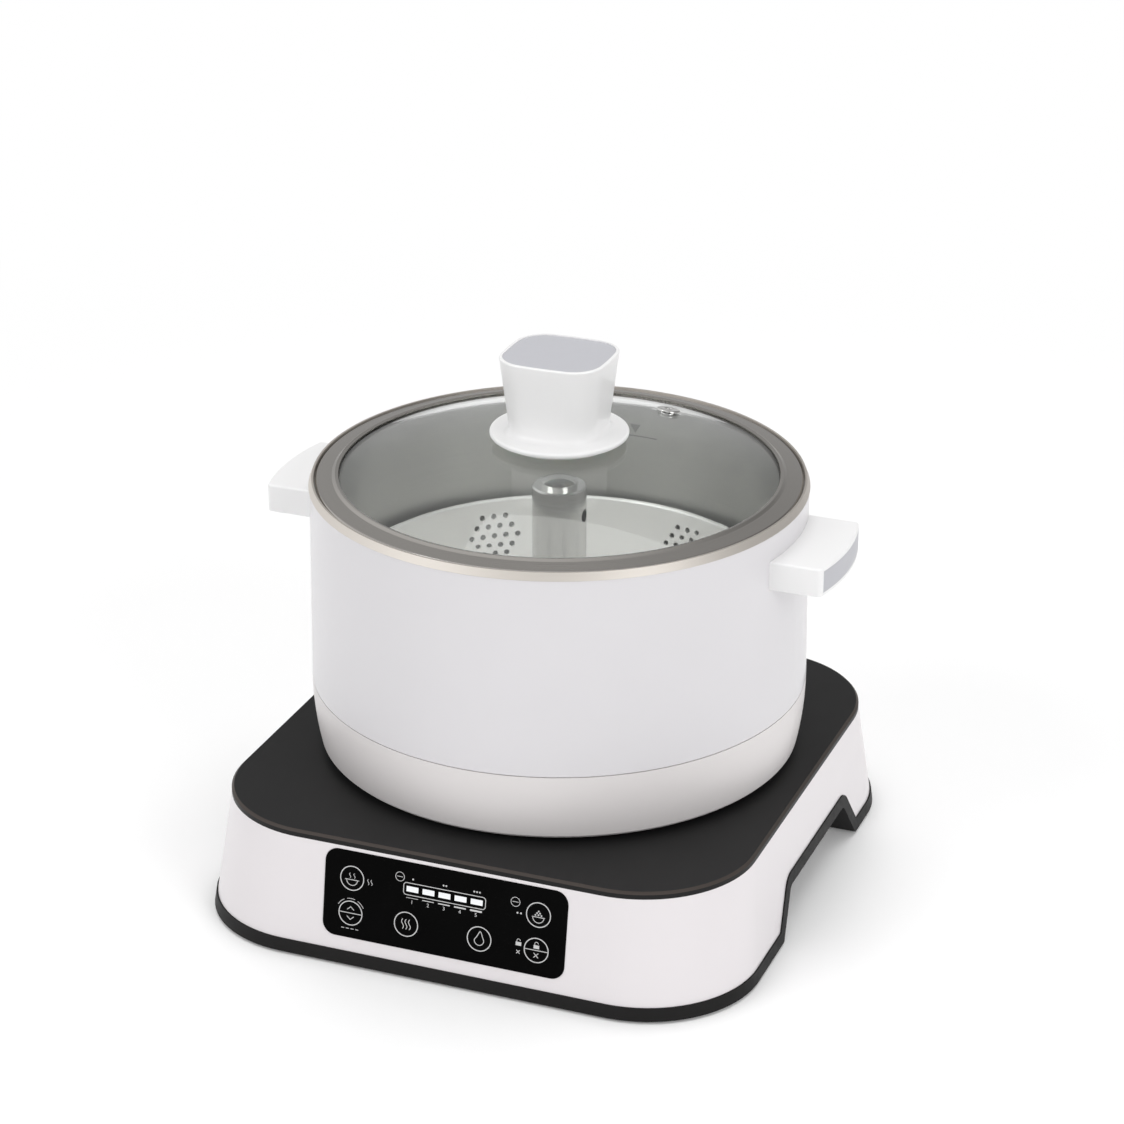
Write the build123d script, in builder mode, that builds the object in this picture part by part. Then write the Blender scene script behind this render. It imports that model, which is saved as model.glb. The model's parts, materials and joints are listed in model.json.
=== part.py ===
from build123d import *

import os
from math import acos, atan2, cos, pi, radians, sin, sqrt, tan

# Electric hot pot with a lift-off pot, a powered basket lift and a glass lid, in millimetres.
# +Z is up, the origin is on the table under the middle of the base, and the controls face -Y.

# Clearances
FIT = 0.15              # between fixed pieces that plug together
RUN = 0.05              # radial clearance of a running shaft
SLIDE = 0.5             # between pieces that slide past each other
SEAT_GAP = 0.3          # under a piece that rests on another body
CUT = 1.0               # how far a cutting tool runs past the face it opens

# Base outline
BASE_W = 298.0          # left to right at the tray's lower edge
BASE_D = 313.0          # front to back at the tray's lower edge
TOP_W = 285.0           # left to right under the plate
TOP_D = 291.0           # front to back under the plate
BASE_CORNER = 60.0
BASE_H = 67.2           # table to the plate's top face
FOOT_PROUD = 1.5        # how far the rubber feet lift the tray off the table
HOUSING_WALL = 2.6
LEDGE_W = 14.0          # ledge that carries the plate
LEDGE_T = 3.0
PLATE_T = 3.8
PLATE_BEVEL = 1.3
POT_Y = 9.1             # the pot stands this far behind the middle of the base

# Black tray, bent over the arch that runs through the base from side to side
STRIP_H = 6.8
STRIP_PROUD = 0.8
TRAY_FLOOR = 2.4
TRAY_RIM = 4.0
ARCH_H = 24.0
ARCH_FOOT = 63.5        # half width of the arch at the tray's lower edge
ARCH_ROOF = 46.5        # half width of the arch at its roof
ARCH_ROUND = 5.0
ARCH_FOOT_ROUND = 2.0

# Feet and the screws that hold the tray
FOOT_R = 8.0
FOOT_SINK = 1.2
FOOT_X = 100.0
FOOT_INSET = 24.0       # foot centre from the tray's front or back edge
SCREW_R = 1.7
SCREW_HEAD_R = 3.6
SCREW_HEAD_H = 2.2
SCREW_LENGTH = 16.0
PAD_R = 7.0
POST_R = 5.0
POST_INSET = 7.5        # post centre from the housing's top corner

# Control panel on the sloped front
PANEL_W = 132.0
PANEL_H = 46.5
PANEL_CORNER = 7.0
PANEL_T = 2.0
PANEL_SINK = 1.6
PANEL_LEDGE = 4.0
PANEL_Z = 38.6          # height of the panel's middle
LIGHTS = 5
LIGHT_W = 6.6
LIGHT_H = 3.0
LIGHT_PITCH = 8.75
LIGHT_UP = 9.2          # light row above the panel's middle
BOARD_T = 1.6
CHIP_W = 14.0
CHIP_T = 2.0

# Heating under the plate
COIL_IN = 28.0
COIL_OUT = 82.0
COIL_H = 5.0
COIL_TURNS = 6
COIL_GROOVE = 0.8
CARRIER_R = 90.0
CARRIER_HOLE = 17.0
CARRIER_T = 3.0
CARRIER_LEG_R = 3.5
CARRIER_LEG_X = 52.0
CARRIER_LEG_Y = 40.0
FERRITES = 6
FERRITE_L = 46.0
FERRITE_W = 12.0
FERRITE_T = 3.0
SENSOR_R = 4.0
SENSOR_AT = 23.0        # sensor from the pot's axis

# Power board, heat sink and fan
POWER_W = 130.0
POWER_D = 48.0
POWER_UP = 6.0          # board above the tray floor
POWER_X = 27.0          # board to the side of the inlet
POWER_GAP = 4.0         # between the board and the back wall
CAPACITOR_R = 8.0
CAPACITOR_H = 24.0
CHOKE_R = 11.0
CHOKE_H = 14.0
SINK_W = 52.0
SINK_D = 30.0
SINK_H = 28.0
SINK_BASE = 4.0
SINK_FINS = 7
SINK_FIN_T = 1.6
FAN_X = 76.0
FAN_W = 60.0
FAN_T = 15.0
FAN_DUCT_R = 28.0
FAN_CORNER = 4.0
FAN_HUB_R = 11.0
FAN_HUB_H = 9.0
FAN_STRUT_T = 2.5
FAN_STRUT_W = 3.0
FAN_PIN_R = 1.5
FAN_BLADES = 7
FAN_BLADE_T = 1.4
FAN_BLADE_PITCH = 38.0
FAN_TIP_GAP = 0.8
GRILLE_SLOTS = 14
GRILLE_SLOT_L = 15.0
GRILLE_SLOT_W = 3.4

# Back of the base
INLET_X = -58.0
INLET_Z = 27.0
INLET_FLANGE_W = 31.0
INLET_FLANGE_H = 24.0
INLET_FLANGE_T = 2.0
INLET_W = 27.4
INLET_H = 19.8
INLET_DEPTH = 20.0
SOCKET_W = 24.4
SOCKET_H = 16.8
SOCKET_DEPTH = 17.0
SOCKET_CHAMFER = 4.5
PIN_W = 2.0
PIN_H = 4.0
PIN_L = 14.0
PIN_SPREAD = 7.0
PIN_RISE = 2.0
VENTS = 12
VENT_PITCH = 6.0
VENT_W = 3.0
VENT_H = 20.0
VENT_X = 34.0
VENT_Z = 38.0

# Basket drive
GEAR_MODULE = 1.0
GEAR_TEETH = 44
PINION_TEETH = 14
GEAR_FACE = 4.5
PRESSURE_ANGLE = radians(25.0)
ADDENDUM = 0.8          # in modules
DEDENDUM = 1.1          # in modules
BACKLASH = 0.16
MOTOR_R = 18.5
MOTOR_H = 16.0
MOTOR_SHAFT_R = 2.0
MOTOR_BORE = 4.0        # length of the shaft's bearing
MOTOR_WALL = 2.0
ROTOR_R = 13.3
ROTOR_GAP = 0.7
ROTOR_SLOTS = 12
ROTOR_SLOT_W = 2.4
ROTOR_SLOT_DEPTH = 4.0
BRACKET_T = 2.4
BRACKET_H = 6.0
BRACKET_EAR = 5.0
SHAFT_R = 4.0
PIVOT_R = 6.5           # post in the tray that the drive shaft turns in
PIVOT_DEPTH = 9.0
COLLAR_R = 12.0
COLLAR_FLANGE_R = 15.0
COLLAR_FLANGE_T = 1.2
COLLAR_DEPTH = 6.0      # collar stem below the plate
BUSH_R = 6.5
DOG_R = 9.5
DOG_KEY = 5.0           # width of the cross key
DOG_H = 11.0
DOG_PLAY = 0.4
SLINGER_T = 1.2
SLINGER_UP = 0.5        # slinger disc above the collar
CUP_R = 11.5
CUP_ROOF = 4.0

# Pot
POT_R = 130.0           # cladding at its top edge
SEAM_OUT = 1.6          # cladding's seam beyond its top edge
BELLY_IN = 0.9          # lower band half way up, inside the seam
SKIRT_IN = 3.6          # lower band's bottom edge, inside the seam
SKIRT_ROUND = 1.5
SHELL_T = 2.4
POT_GAP = 2.7           # lower band above the plate
SEAM_UP = 39.5          # seam above the plate
SHELL_UP = 145.8        # top of the cladding above the plate
SEAM_GROOVE = 0.5
TONGUE_H = 6.0
TONGUE_T = 1.8
SKIRT_LIP_W = 16.0
BOWL_ROOM = 12.5        # bowl's wall inside the cladding's top edge
BOWL_T = 1.0
BOWL_ROUND = 14.0
DISC_EDGE = 14.5        # heat disc inside the bowl's wall
DISC_HOLE = 18.0
DISC_T = 3.3
RIM_OUT = 0.4           # rim beyond the cladding
RIM_HEM = 1.0
RIM_CREST_W = 0.7
RIM_H = 4.0             # crest of the rim above the cladding
SEAT_UP = 1.6           # lid seat above the cladding
SEAT_IN = 3.0           # lid seat's edge inside the rim
GASKET_T = 2.0
GASKET_W = 5.0
GASKET_ROOM = 1.6       # gasket inside the cladding's wall
SHELL_LIP_W = 7.6

# Handles
HANDLE_HALF = 33.0
HANDLE_T = 15.0
HANDLE_UP = 117.3       # underside of the handles above the plate
HANDLE_REACH = 23.0     # outer corners beyond the cladding's top edge
HANDLE_BOW = 4.5        # how far the end face bows out
HANDLE_EDGE = 1.2
HANDLE_WALL = 3.0
HANDLE_TOP_T = 4.0
HANDLE_ROOT = 6.0       # solid part next to the cladding
INSERT_T = 1.5
INSERT_BORDER = 1.6
HANDLE_SCREW_SPREAD = 22.0
HANDLE_SCREW_DEPTH = 4.0

# Centre column and lift screw
COLUMN_R = 14.2
COLUMN_T = 0.8
COLUMN_UP = 139.8       # top of the column tube above the plate
COLUMN_FOOT_R = 20.0
COLUMN_FOOT_T = 1.0
COLUMN_VENT_R = 3.5
COLUMN_VENT_DOWN = 13.5
CAP_RIM_H = 1.6
CAP_STEP_R = 9.5
CAP_STEP_H = 2.2
CAP_CROWN = 2.0
CAP_PLUG_H = 8.0
HOUSING_H = 12.0        # sealed shaft bearing inside the column
HOUSING_GAP = 0.5
SEAL_R = 9.0
SEAL_H = 2.5
NUT_H = 14.0
NUT_GAP = 2.5           # nut above the seal
ARM_W = 8.0
ARM_H = 10.0
ARM_REACH = 19.8
LIFT = 45.0             # travel of the basket

# Basket
BASKET_PLAY = 4.5       # rolled rim inside the bowl's wall
BASKET_TAPER = 9.0      # foot inside the rolled rim
BASKET_T = 1.0
BASKET_ROUND = 12.0
BASKET_UP = 8.5         # basket floor above the pot floor
BASKET_DOWN = 57.0      # basket rim below the lid seat
ROLL_R = 1.7
HUB_WALL = 2.0
HUB_SHOULDER = 3.0
HUB_SLEEVE = 30.0
HUB_FOOT_R = 31.0
HUB_FOOT_T = 1.2
HOLE_R = 1.6
HOLE_PITCH = 6.5
CLUSTERS = 6
CLUSTER_ANGLE = 71.0
CLUSTER_RINGS = 2
CLUSTER_DOWN = 21.0     # middle of a cluster below the rim
FLOOR_RINGS = 3
FLOOR_RING_R = 44.0
FLOOR_RING_STEP = 16.0
FLOOR_RING_HOLES = 12

# Lid
LID_PLAY = 0.5          # lid ring inside the seat's edge
SKIRT_PLAY = 0.4        # lid ring's skirt inside the bowl's wall
RING_H = 1.7
RING_WALL = 0.8
RING_CREST_OUT = 1.1    # crest of the ring beyond its skirt
RING_LIP_W = 1.5        # lip over the glass
RING_LIP_T = 0.7
RING_FOOT_W = 2.7       # foot under the glass
GLASS_T = 4.0
GLASS_RISE = 22.4       # top of the dome above the lid seat
GLASS_EDGE_UP = 2.75058  # top edge of the glass above the lid seat
STEM_HOLE_R = 4.5
VENT_IN = 30.3          # steam vent from the glass's edge
VENT_ANGLE = 68.5
VENT_FLANGE_R = 6.5
VENT_STEM_R = 4.0
VENT_BORE_R = 2.2
VENT_FLANGE_T = 1.3
WASHER_R = 30.0
WASHER_T = 1.5
KNOB_FLANGE_R = 36.2
KNOB_FLANGE_T = 2.7
KNOB_EDGE = 1.2
KNOB_FOOT_W = 47.5
KNOB_FOOT_D = 44.0
KNOB_FOOT_CORNER = 14.0
KNOB_TOP_W = 57.0
KNOB_TOP_D = 52.8
KNOB_TOP_CORNER = 16.5
KNOB_BOW = 1.6          # how far the grip's sides bow out
KNOB_H = 41.4           # grip above its flange
KNOB_WALL = 3.0
KNOB_RIM = 1.4
KNOB_INSERT_T = 2.0
KNOB_INSERT_DOWN = 0.5
KNOB_ROOT = 3.0         # fillet between grip and flange
KNOB_BOSS_R = 6.0
KNOB_BOSS_H = 22.0
KNOB_SCREW_R = 2.4
KNOB_SCREW_HEAD_R = 5.5
KNOB_SCREW_HEAD_H = 3.0
KNOB_SCREW_LENGTH = 26.0
SCREW_WASHER_R = 9.0
SCREW_WASHER_T = 1.6

# Heights of the base
TRAY_Z = FOOT_PROUD
STRIP_TOP = TRAY_Z + STRIP_H
FOOT_FLOOR_Z = TRAY_Z + TRAY_FLOOR
ROOF_Z = TRAY_Z + ARCH_H
ROOF_FLOOR_Z = ROOF_Z + TRAY_FLOOR
HOUSING_TOP = BASE_H - PLATE_T
ARCH_ANGLE = atan2(ARCH_H, ARCH_FOOT - ARCH_ROOF)
FRONT_LEAN = atan2((BASE_D - TOP_D) / 2, HOUSING_TOP - TRAY_Z)
COIL_Z = HOUSING_TOP - SEAT_GAP - COIL_H
CARRIER_Z = COIL_Z - CARRIER_T
FERRITE_Z = CARRIER_Z - FERRITE_T

# Heights of the drive
GEAR_DISTANCE = GEAR_MODULE * (GEAR_TEETH + PINION_TEETH) / 2
GEAR_Z = ROOF_FLOOR_Z + MOTOR_H + CUT
PIVOT_TOP = GEAR_Z - SEAT_GAP
COLLAR_TOP = BASE_H + COLLAR_FLANGE_T
SLINGER_Z = COLLAR_TOP + SLINGER_UP
DOG_Z = SLINGER_Z + SLINGER_T
DOG_TOP = DOG_Z + DOG_H

# Radii of the pot, from its cladding inwards
SEAM_R = POT_R + SEAM_OUT
BELLY_R = SEAM_R - BELLY_IN
SKIRT_R = SEAM_R - SKIRT_IN
SKIRT_LIP_R = SKIRT_R - SKIRT_LIP_W
SHELL_LIP_R = POT_R - SHELL_T - SHELL_LIP_W
GASKET_OUT = POT_R - SHELL_T - GASKET_ROOM
GASKET_IN = GASKET_OUT - GASKET_W
RIM_R = POT_R + RIM_OUT
SEAT_R = RIM_R - SEAT_IN
BOWL_R = POT_R - BOWL_ROOM
DISC_R = BOWL_R - DISC_EDGE
BASKET_R = BOWL_R - BASKET_PLAY
BASKET_FOOT_R = BASKET_R - BASKET_TAPER

# Radii of the lid, from the pot's seat and bowl
RING_R = SEAT_R - LID_PLAY
RING_SKIRT_R = BOWL_R - SKIRT_PLAY
RING_CREST_R = RING_SKIRT_R + RING_CREST_OUT
GLASS_R = RING_SKIRT_R - RING_WALL
RING_LIP_IN = GLASS_R - RING_LIP_W
RING_FOOT_IN = GLASS_R - RING_FOOT_W
VENT_AT = GLASS_R - VENT_IN

# Heights of the pot
POT_Z = BASE_H
SKIRT_Z = POT_Z + POT_GAP
SEAM_Z = POT_Z + SEAM_UP
SHELL_TOP = POT_Z + SHELL_UP
BOWL_Z = POT_Z + DISC_T
FLOOR_Z = BOWL_Z + BOWL_T
SEAT_Z = SHELL_TOP + SEAT_UP
CREST_Z = SHELL_TOP + RIM_H
SHELL_LIP_TOP = SEAT_Z - BOWL_T - GASKET_T
HANDLE_Z = POT_Z + HANDLE_UP

# Heights of the lift
COLUMN_TOP = POT_Z + COLUMN_UP
COLUMN_BORE = COLUMN_R - COLUMN_T
CUP_Z = FLOOR_Z + COLUMN_FOOT_T
CUP_TOP = DOG_TOP + SEAT_GAP + CUP_ROOF
BEARING_Z = CUP_TOP + HOUSING_GAP
SEAL_Z = BEARING_Z + HOUSING_H
NUT_Z = SEAL_Z + SEAL_H + NUT_GAP
ARM_Z = NUT_Z + (NUT_H - ARM_H) / 2
ARM_TOP = ARM_Z + ARM_H

# Heights of the basket
BASKET_Z = FLOOR_Z + BASKET_UP
BASKET_TOP = SEAT_Z - BASKET_DOWN
HUB_BORE = COLUMN_R + SLIDE
HUB_WIDE = ARM_REACH + SLIDE

# Heights of the lid
RING_Z = SEAT_Z + SEAT_GAP
DOME_SAG = GLASS_RISE - GLASS_EDGE_UP
DOME_R = (GLASS_R**2 + DOME_SAG**2) / (2 * DOME_SAG)
DOME_TOP = SEAT_Z + GLASS_RISE
DOME_CENTRE = DOME_TOP - DOME_R
KNOB_Z = DOME_TOP + WASHER_T
GRIP_Z = KNOB_Z + KNOB_FLANGE_T
KNOB_TOP_Z = GRIP_Z + KNOB_H

POT_AXIS = Axis((0, POT_Y, 0), (0, 0, 1))
POT_SECTION = Plane.XZ.offset(-POT_Y)
UP = (Align.CENTER, Align.CENTER, Align.MIN)
DOWN = (Align.CENTER, Align.CENTER, Align.MAX)


def save(builder, name):
    builder.part.label = name
    export_step(builder.part, f"parts/{name}.step")


def outline_width(z):
    return BASE_W + (TOP_W - BASE_W) * (z - TRAY_Z) / (HOUSING_TOP - TRAY_Z)


def outline_depth(z):
    return BASE_D + (TOP_D - BASE_D) * (z - TRAY_Z) / (HOUSING_TOP - TRAY_Z)


def base_block(grow, low, high):
    """The sloped outline of the base as a solid, grown outwards by a wall."""
    with BuildPart() as block:
        for z in (low, high):
            with BuildSketch(Plane.XY.offset(z)):
                RectangleRounded(outline_width(z) + 2 * grow, outline_depth(z) + 2 * grow, BASE_CORNER + grow)
        loft(ruled=True)
    return block.part


def arch_line(rise):
    """Points of the tray's bent line, front to back, lifted square to itself by rise."""
    spread = rise * tan(ARCH_ANGLE / 2)
    foot = ARCH_FOOT + spread
    roof = ARCH_ROOF + spread
    return [
        (-BASE_D, TRAY_Z + rise),
        (POT_Y - foot, TRAY_Z + rise),
        (POT_Y - roof, ROOF_Z + rise),
        (POT_Y + roof, ROOF_Z + rise),
        (POT_Y + foot, TRAY_Z + rise),
        (BASE_D, TRAY_Z + rise),
    ]


def arch_radii(rise):
    return [ARCH_FOOT_ROUND, ARCH_ROUND + rise, ARCH_ROUND + rise, ARCH_FOOT_ROUND]


def bent_sheet(low, high):
    """A sheet bent along the tray, from side to side, between two lifts of its line."""
    with BuildPart() as sheet:
        with BuildSketch(Plane.YZ):
            with BuildLine():
                FilletPolyline(*arch_line(low), radius=arch_radii(low))
                FilletPolyline(*arch_line(high), radius=arch_radii(high))
                Line(arch_line(low)[0], arch_line(high)[0])
                Line(arch_line(low)[-1], arch_line(high)[-1])
            make_face()
        extrude(amount=BASE_W, both=True)
    return sheet.part


def below_tray_line(rise):
    """Everything under the tray's bent line."""
    with BuildPart() as under:
        with BuildSketch(Plane.YZ):
            with BuildLine():
                FilletPolyline(*arch_line(rise), radius=arch_radii(rise))
                Polyline(arch_line(rise)[0], (-BASE_D, -BASE_H), (BASE_D, -BASE_H), arch_line(rise)[-1])
            make_face()
        extrude(amount=BASE_W, both=True)
    return under.part


def front_face(z):
    """Plane on the sloped front, with X to the right and Y up the slope."""
    return Plane((0, -outline_depth(z) / 2, z), (1, 0, 0), (0, -cos(FRONT_LEAN), sin(FRONT_LEAN)))


def back_face(x, z):
    """Plane on the sloped back, with X to the object's left and Y up the slope."""
    return Plane((x, outline_depth(z) / 2, z), (-1, 0, 0), (0, cos(FRONT_LEAN), sin(FRONT_LEAN)))


def pot_plane(z):
    return Plane.XY.offset(z).shift_origin((0, POT_Y, z))


def dome_height(radius, depth=0.0):
    """Height of the glass dome at a radius, some depth under its outer face."""
    return DOME_CENTRE + sqrt((DOME_R - depth) ** 2 - radius**2)


def involute(angle):
    return tan(angle) - angle


def polar(radius, angle):
    return (radius * cos(angle), radius * sin(angle))


def tooth_gap(teeth):
    """Sketch of the space between two gear teeth, centred on the X axis."""
    pitch_r = GEAR_MODULE * teeth / 2
    base_r = pitch_r * cos(PRESSURE_ANGLE)
    tip_r = pitch_r + ADDENDUM * GEAR_MODULE
    root_r = pitch_r - DEDENDUM * GEAR_MODULE
    flank_r = max(base_r, root_r)
    tooth_half = pi / (2 * teeth) - BACKLASH / (4 * pitch_r)

    def gap_half(radius):
        return pi / teeth - tooth_half - involute(PRESSURE_ANGLE) + involute(acos(base_r / radius))

    low = gap_half(flank_r)
    middle_r = (flank_r + tip_r) / 2
    middle = gap_half(middle_r)
    high = gap_half(tip_r)
    with BuildSketch() as gap:
        with BuildLine():
            for side in (1, -1):
                ThreePointArc(
                    polar(flank_r, side * low), polar(middle_r, side * middle), polar(tip_r, side * high)
                )
                Line(polar(tip_r, side * high), polar(tip_r + CUT, side * high))
                if root_r < flank_r:
                    Line(polar(root_r, side * low), polar(flank_r, side * low))
            ThreePointArc(polar(root_r, low), (root_r, 0), polar(root_r, -low))
            ThreePointArc(polar(tip_r + CUT, high), (tip_r + CUT, 0), polar(tip_r + CUT, -high))
        make_face()
    return gap.sketch


def tip_radius(teeth):
    return GEAR_MODULE * (teeth / 2 + ADDENDUM)


os.makedirs("parts", exist_ok=True)

# Places shared by several pieces of the base
FOOT_Y = BASE_D / 2 - FOOT_INSET
POST_X = TOP_W / 2 - BASE_CORNER + (BASE_CORNER - POST_INSET) * cos(pi / 4)
POST_Y = TOP_D / 2 - BASE_CORNER + (BASE_CORNER - POST_INSET) * sin(pi / 4)
foot_places = [(x, y) for x in (-FOOT_X, FOOT_X) for y in (-FOOT_Y, FOOT_Y)]
post_places = [(x, y) for x in (-POST_X, POST_X) for y in (-POST_Y, POST_Y)]
POWER_Z = FOOT_FLOOR_Z + POWER_UP
POWER_TOP = POWER_Z + BOARD_T
POWER_BACK = min(outline_depth(POWER_Z), outline_depth(POWER_TOP + SINK_H)) / 2 - HOUSING_WALL - POWER_GAP
POWER_Y = POWER_BACK - POWER_D / 2
board_places = [
    (POWER_X + x * (POWER_W / 2 - POST_R), POWER_Y + y * (POWER_D / 2 - POST_R))
    for x in (-1, 1)
    for y in (-1, 1)
]
MOTOR_X = -GEAR_DISTANCE
COUNTERBORE = SCREW_HEAD_H + CUT

# White housing: a sloped shell with a ledge for the plate and an arch through both sides
with BuildPart() as base_housing:
    add(base_block(0, TRAY_Z, HOUSING_TOP))
    add(base_block(-HOUSING_WALL, TRAY_Z - CUT, HOUSING_TOP - LEDGE_T), mode=Mode.SUBTRACT)
    with BuildSketch(Plane.XY.offset(HOUSING_TOP)):
        RectangleRounded(TOP_W - 2 * LEDGE_W, TOP_D - 2 * LEDGE_W, BASE_CORNER - LEDGE_W)
    extrude(amount=-LEDGE_T, mode=Mode.SUBTRACT)
    with BuildSketch(Plane.XY.offset(STRIP_TOP)):
        with Locations(*post_places):
            Circle(POST_R)
    extrude(amount=HOUSING_TOP - LEDGE_T - STRIP_TOP)
    add(below_tray_line(STRIP_H), mode=Mode.SUBTRACT)
    with BuildSketch(Plane.XY.offset(STRIP_TOP)):
        with Locations(*post_places):
            Circle(SCREW_R + RUN)
    extrude(amount=SCREW_LENGTH, mode=Mode.SUBTRACT)
    with BuildSketch(front_face(PANEL_Z)):
        RectangleRounded(PANEL_W + 2 * FIT, PANEL_H + 2 * FIT, PANEL_CORNER + FIT)
    extrude(amount=-PANEL_SINK, mode=Mode.SUBTRACT)
    with BuildSketch(front_face(PANEL_Z)):
        Rectangle(PANEL_W - 2 * PANEL_LEDGE, PANEL_H - 2 * PANEL_LEDGE)
    extrude(amount=-HOUSING_WALL - CUT, mode=Mode.SUBTRACT)
    with BuildSketch(back_face(INLET_X, INLET_Z)):
        Rectangle(INLET_W + 2 * FIT, INLET_H + 2 * FIT)
    extrude(amount=-HOUSING_WALL - CUT, both=True, mode=Mode.SUBTRACT)
    with BuildSketch(back_face(VENT_X, VENT_Z)):
        with GridLocations(VENT_PITCH, 0, VENTS, 1):
            SlotOverall(VENT_H, VENT_W, rotation=90)
    extrude(amount=-HOUSING_WALL - CUT, both=True, mode=Mode.SUBTRACT)
save(base_housing, "base_housing")

# Black tray with the strip round its edge, screw pads, the drive shaft's pivot and the fan grille
with BuildPart() as tray_pocket:
    add(bent_sheet(TRAY_FLOOR, STRIP_H + CUT))
    add(base_block(-TRAY_RIM, TRAY_Z - CUT, HOUSING_TOP), mode=Mode.INTERSECT)

with BuildPart() as base_tray:
    add(bent_sheet(0, STRIP_H))
    add(base_block(STRIP_PROUD, TRAY_Z - CUT, HOUSING_TOP), mode=Mode.INTERSECT)
    add(tray_pocket.part, mode=Mode.SUBTRACT)
    with BuildSketch(Plane.XY.offset(TRAY_Z)):
        with Locations(*post_places):
            Circle(PAD_R)
    extrude(amount=STRIP_H)
    with BuildSketch(Plane.XY.offset(FOOT_FLOOR_Z)):
        with Locations(*board_places):
            Circle(POST_R)
    extrude(amount=POWER_UP)
    with BuildSketch(pot_plane(ROOF_FLOOR_Z)):
        Circle(PIVOT_R)
    extrude(amount=PIVOT_TOP - ROOF_FLOOR_Z)
    with BuildSketch(pot_plane(PIVOT_TOP)):
        Circle(SHAFT_R + RUN)
    extrude(amount=-PIVOT_DEPTH, mode=Mode.SUBTRACT)
    with BuildSketch(Plane.XY.offset(TRAY_Z)):
        with Locations(*post_places):
            Circle(SCREW_HEAD_R + FIT)
    extrude(amount=COUNTERBORE, mode=Mode.SUBTRACT)
    with BuildSketch(Plane.XY.offset(TRAY_Z)):
        with Locations(*post_places):
            Circle(SCREW_R + FIT)
    extrude(amount=STRIP_H, mode=Mode.SUBTRACT)
    with BuildSketch(Plane.XY.offset(TRAY_Z)):
        with Locations(*foot_places):
            Circle(FOOT_R + FIT)
    extrude(amount=FOOT_SINK, mode=Mode.SUBTRACT)
    with BuildSketch(pot_plane(ROOF_Z).shift_origin((FAN_X, POT_Y, ROOF_Z))):
        with PolarLocations((FAN_HUB_R + FAN_DUCT_R) / 2, GRILLE_SLOTS):
            SlotOverall(GRILLE_SLOT_L, GRILLE_SLOT_W)
    extrude(amount=TRAY_FLOOR, mode=Mode.SUBTRACT)
save(base_tray, "base_tray")

with BuildPart() as rubber_feet:
    with BuildSketch(Plane.XY):
        with Locations(*foot_places):
            Circle(FOOT_R)
    extrude(amount=FOOT_PROUD + FOOT_SINK)
save(rubber_feet, "rubber_feet")

with BuildPart() as tray_screws:
    with BuildSketch(Plane.XY.offset(TRAY_Z + COUNTERBORE - SCREW_HEAD_H)):
        with Locations(*post_places):
            Circle(SCREW_HEAD_R)
    extrude(amount=SCREW_HEAD_H)
    with BuildSketch(Plane.XY.offset(TRAY_Z + COUNTERBORE)):
        with Locations(*post_places):
            Circle(SCREW_R)
    extrude(amount=SCREW_LENGTH)
save(tray_screws, "tray_screws")

# Black plate with a bevelled edge and a hole for the drive collar
with BuildPart() as top_plate:
    with BuildSketch(Plane.XY.offset(HOUSING_TOP)):
        RectangleRounded(TOP_W, TOP_D, BASE_CORNER)
    extrude(amount=PLATE_T)
    chamfer(top_plate.faces().sort_by(Axis.Z)[-1].edges(), PLATE_BEVEL)
    with BuildSketch(pot_plane(HOUSING_TOP)):
        Circle(COLLAR_R + FIT)
    extrude(amount=PLATE_T, mode=Mode.SUBTRACT)
save(top_plate, "top_plate")

# Touch panel with windows for the light bars
panel_back = front_face(PANEL_Z).offset(-PANEL_SINK)
with BuildPart() as control_panel:
    with BuildSketch(panel_back):
        RectangleRounded(PANEL_W, PANEL_H, PANEL_CORNER)
        with Locations((0, LIGHT_UP)):
            with GridLocations(LIGHT_PITCH, 0, LIGHTS, 1):
                Rectangle(LIGHT_W, LIGHT_H, mode=Mode.SUBTRACT)
    extrude(amount=PANEL_T)
save(control_panel, "control_panel")

with BuildPart() as level_lights:
    with BuildSketch(panel_back):
        with Locations((0, LIGHT_UP)):
            with GridLocations(LIGHT_PITCH, 0, LIGHTS, 1):
                Rectangle(LIGHT_W - FIT, LIGHT_H - FIT)
    extrude(amount=PANEL_T)
save(level_lights, "level_lights")

with BuildPart() as control_board:
    with BuildSketch(panel_back):
        Rectangle(PANEL_W - 2 * PANEL_LEDGE - 2 * CUT, PANEL_H - 2 * PANEL_LEDGE - 2 * CUT)
    extrude(amount=-BOARD_T)
    with BuildSketch(panel_back.offset(-BOARD_T)):
        with GridLocations(PANEL_W / 3, 0, 3, 1):
            Rectangle(CHIP_W, CHIP_W)
    extrude(amount=-CHIP_T)
save(control_board, "control_board")

# Coil on its carrier, with ferrite bars under it and a sensor against the plate
carrier_legs = [(x * CARRIER_LEG_X, y * CARRIER_LEG_Y) for x in (-1, 1) for y in (-1, 1)]
with BuildPart() as coil_carrier:
    with BuildSketch(pot_plane(CARRIER_Z)):
        Circle(CARRIER_R)
        Circle(CARRIER_HOLE, mode=Mode.SUBTRACT)
    extrude(amount=CARRIER_T)
    with BuildSketch(pot_plane(ROOF_FLOOR_Z)):
        with Locations(*carrier_legs):
            Circle(CARRIER_LEG_R)
    extrude(amount=CARRIER_Z - ROOF_FLOOR_Z)
save(coil_carrier, "coil_carrier")

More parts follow.
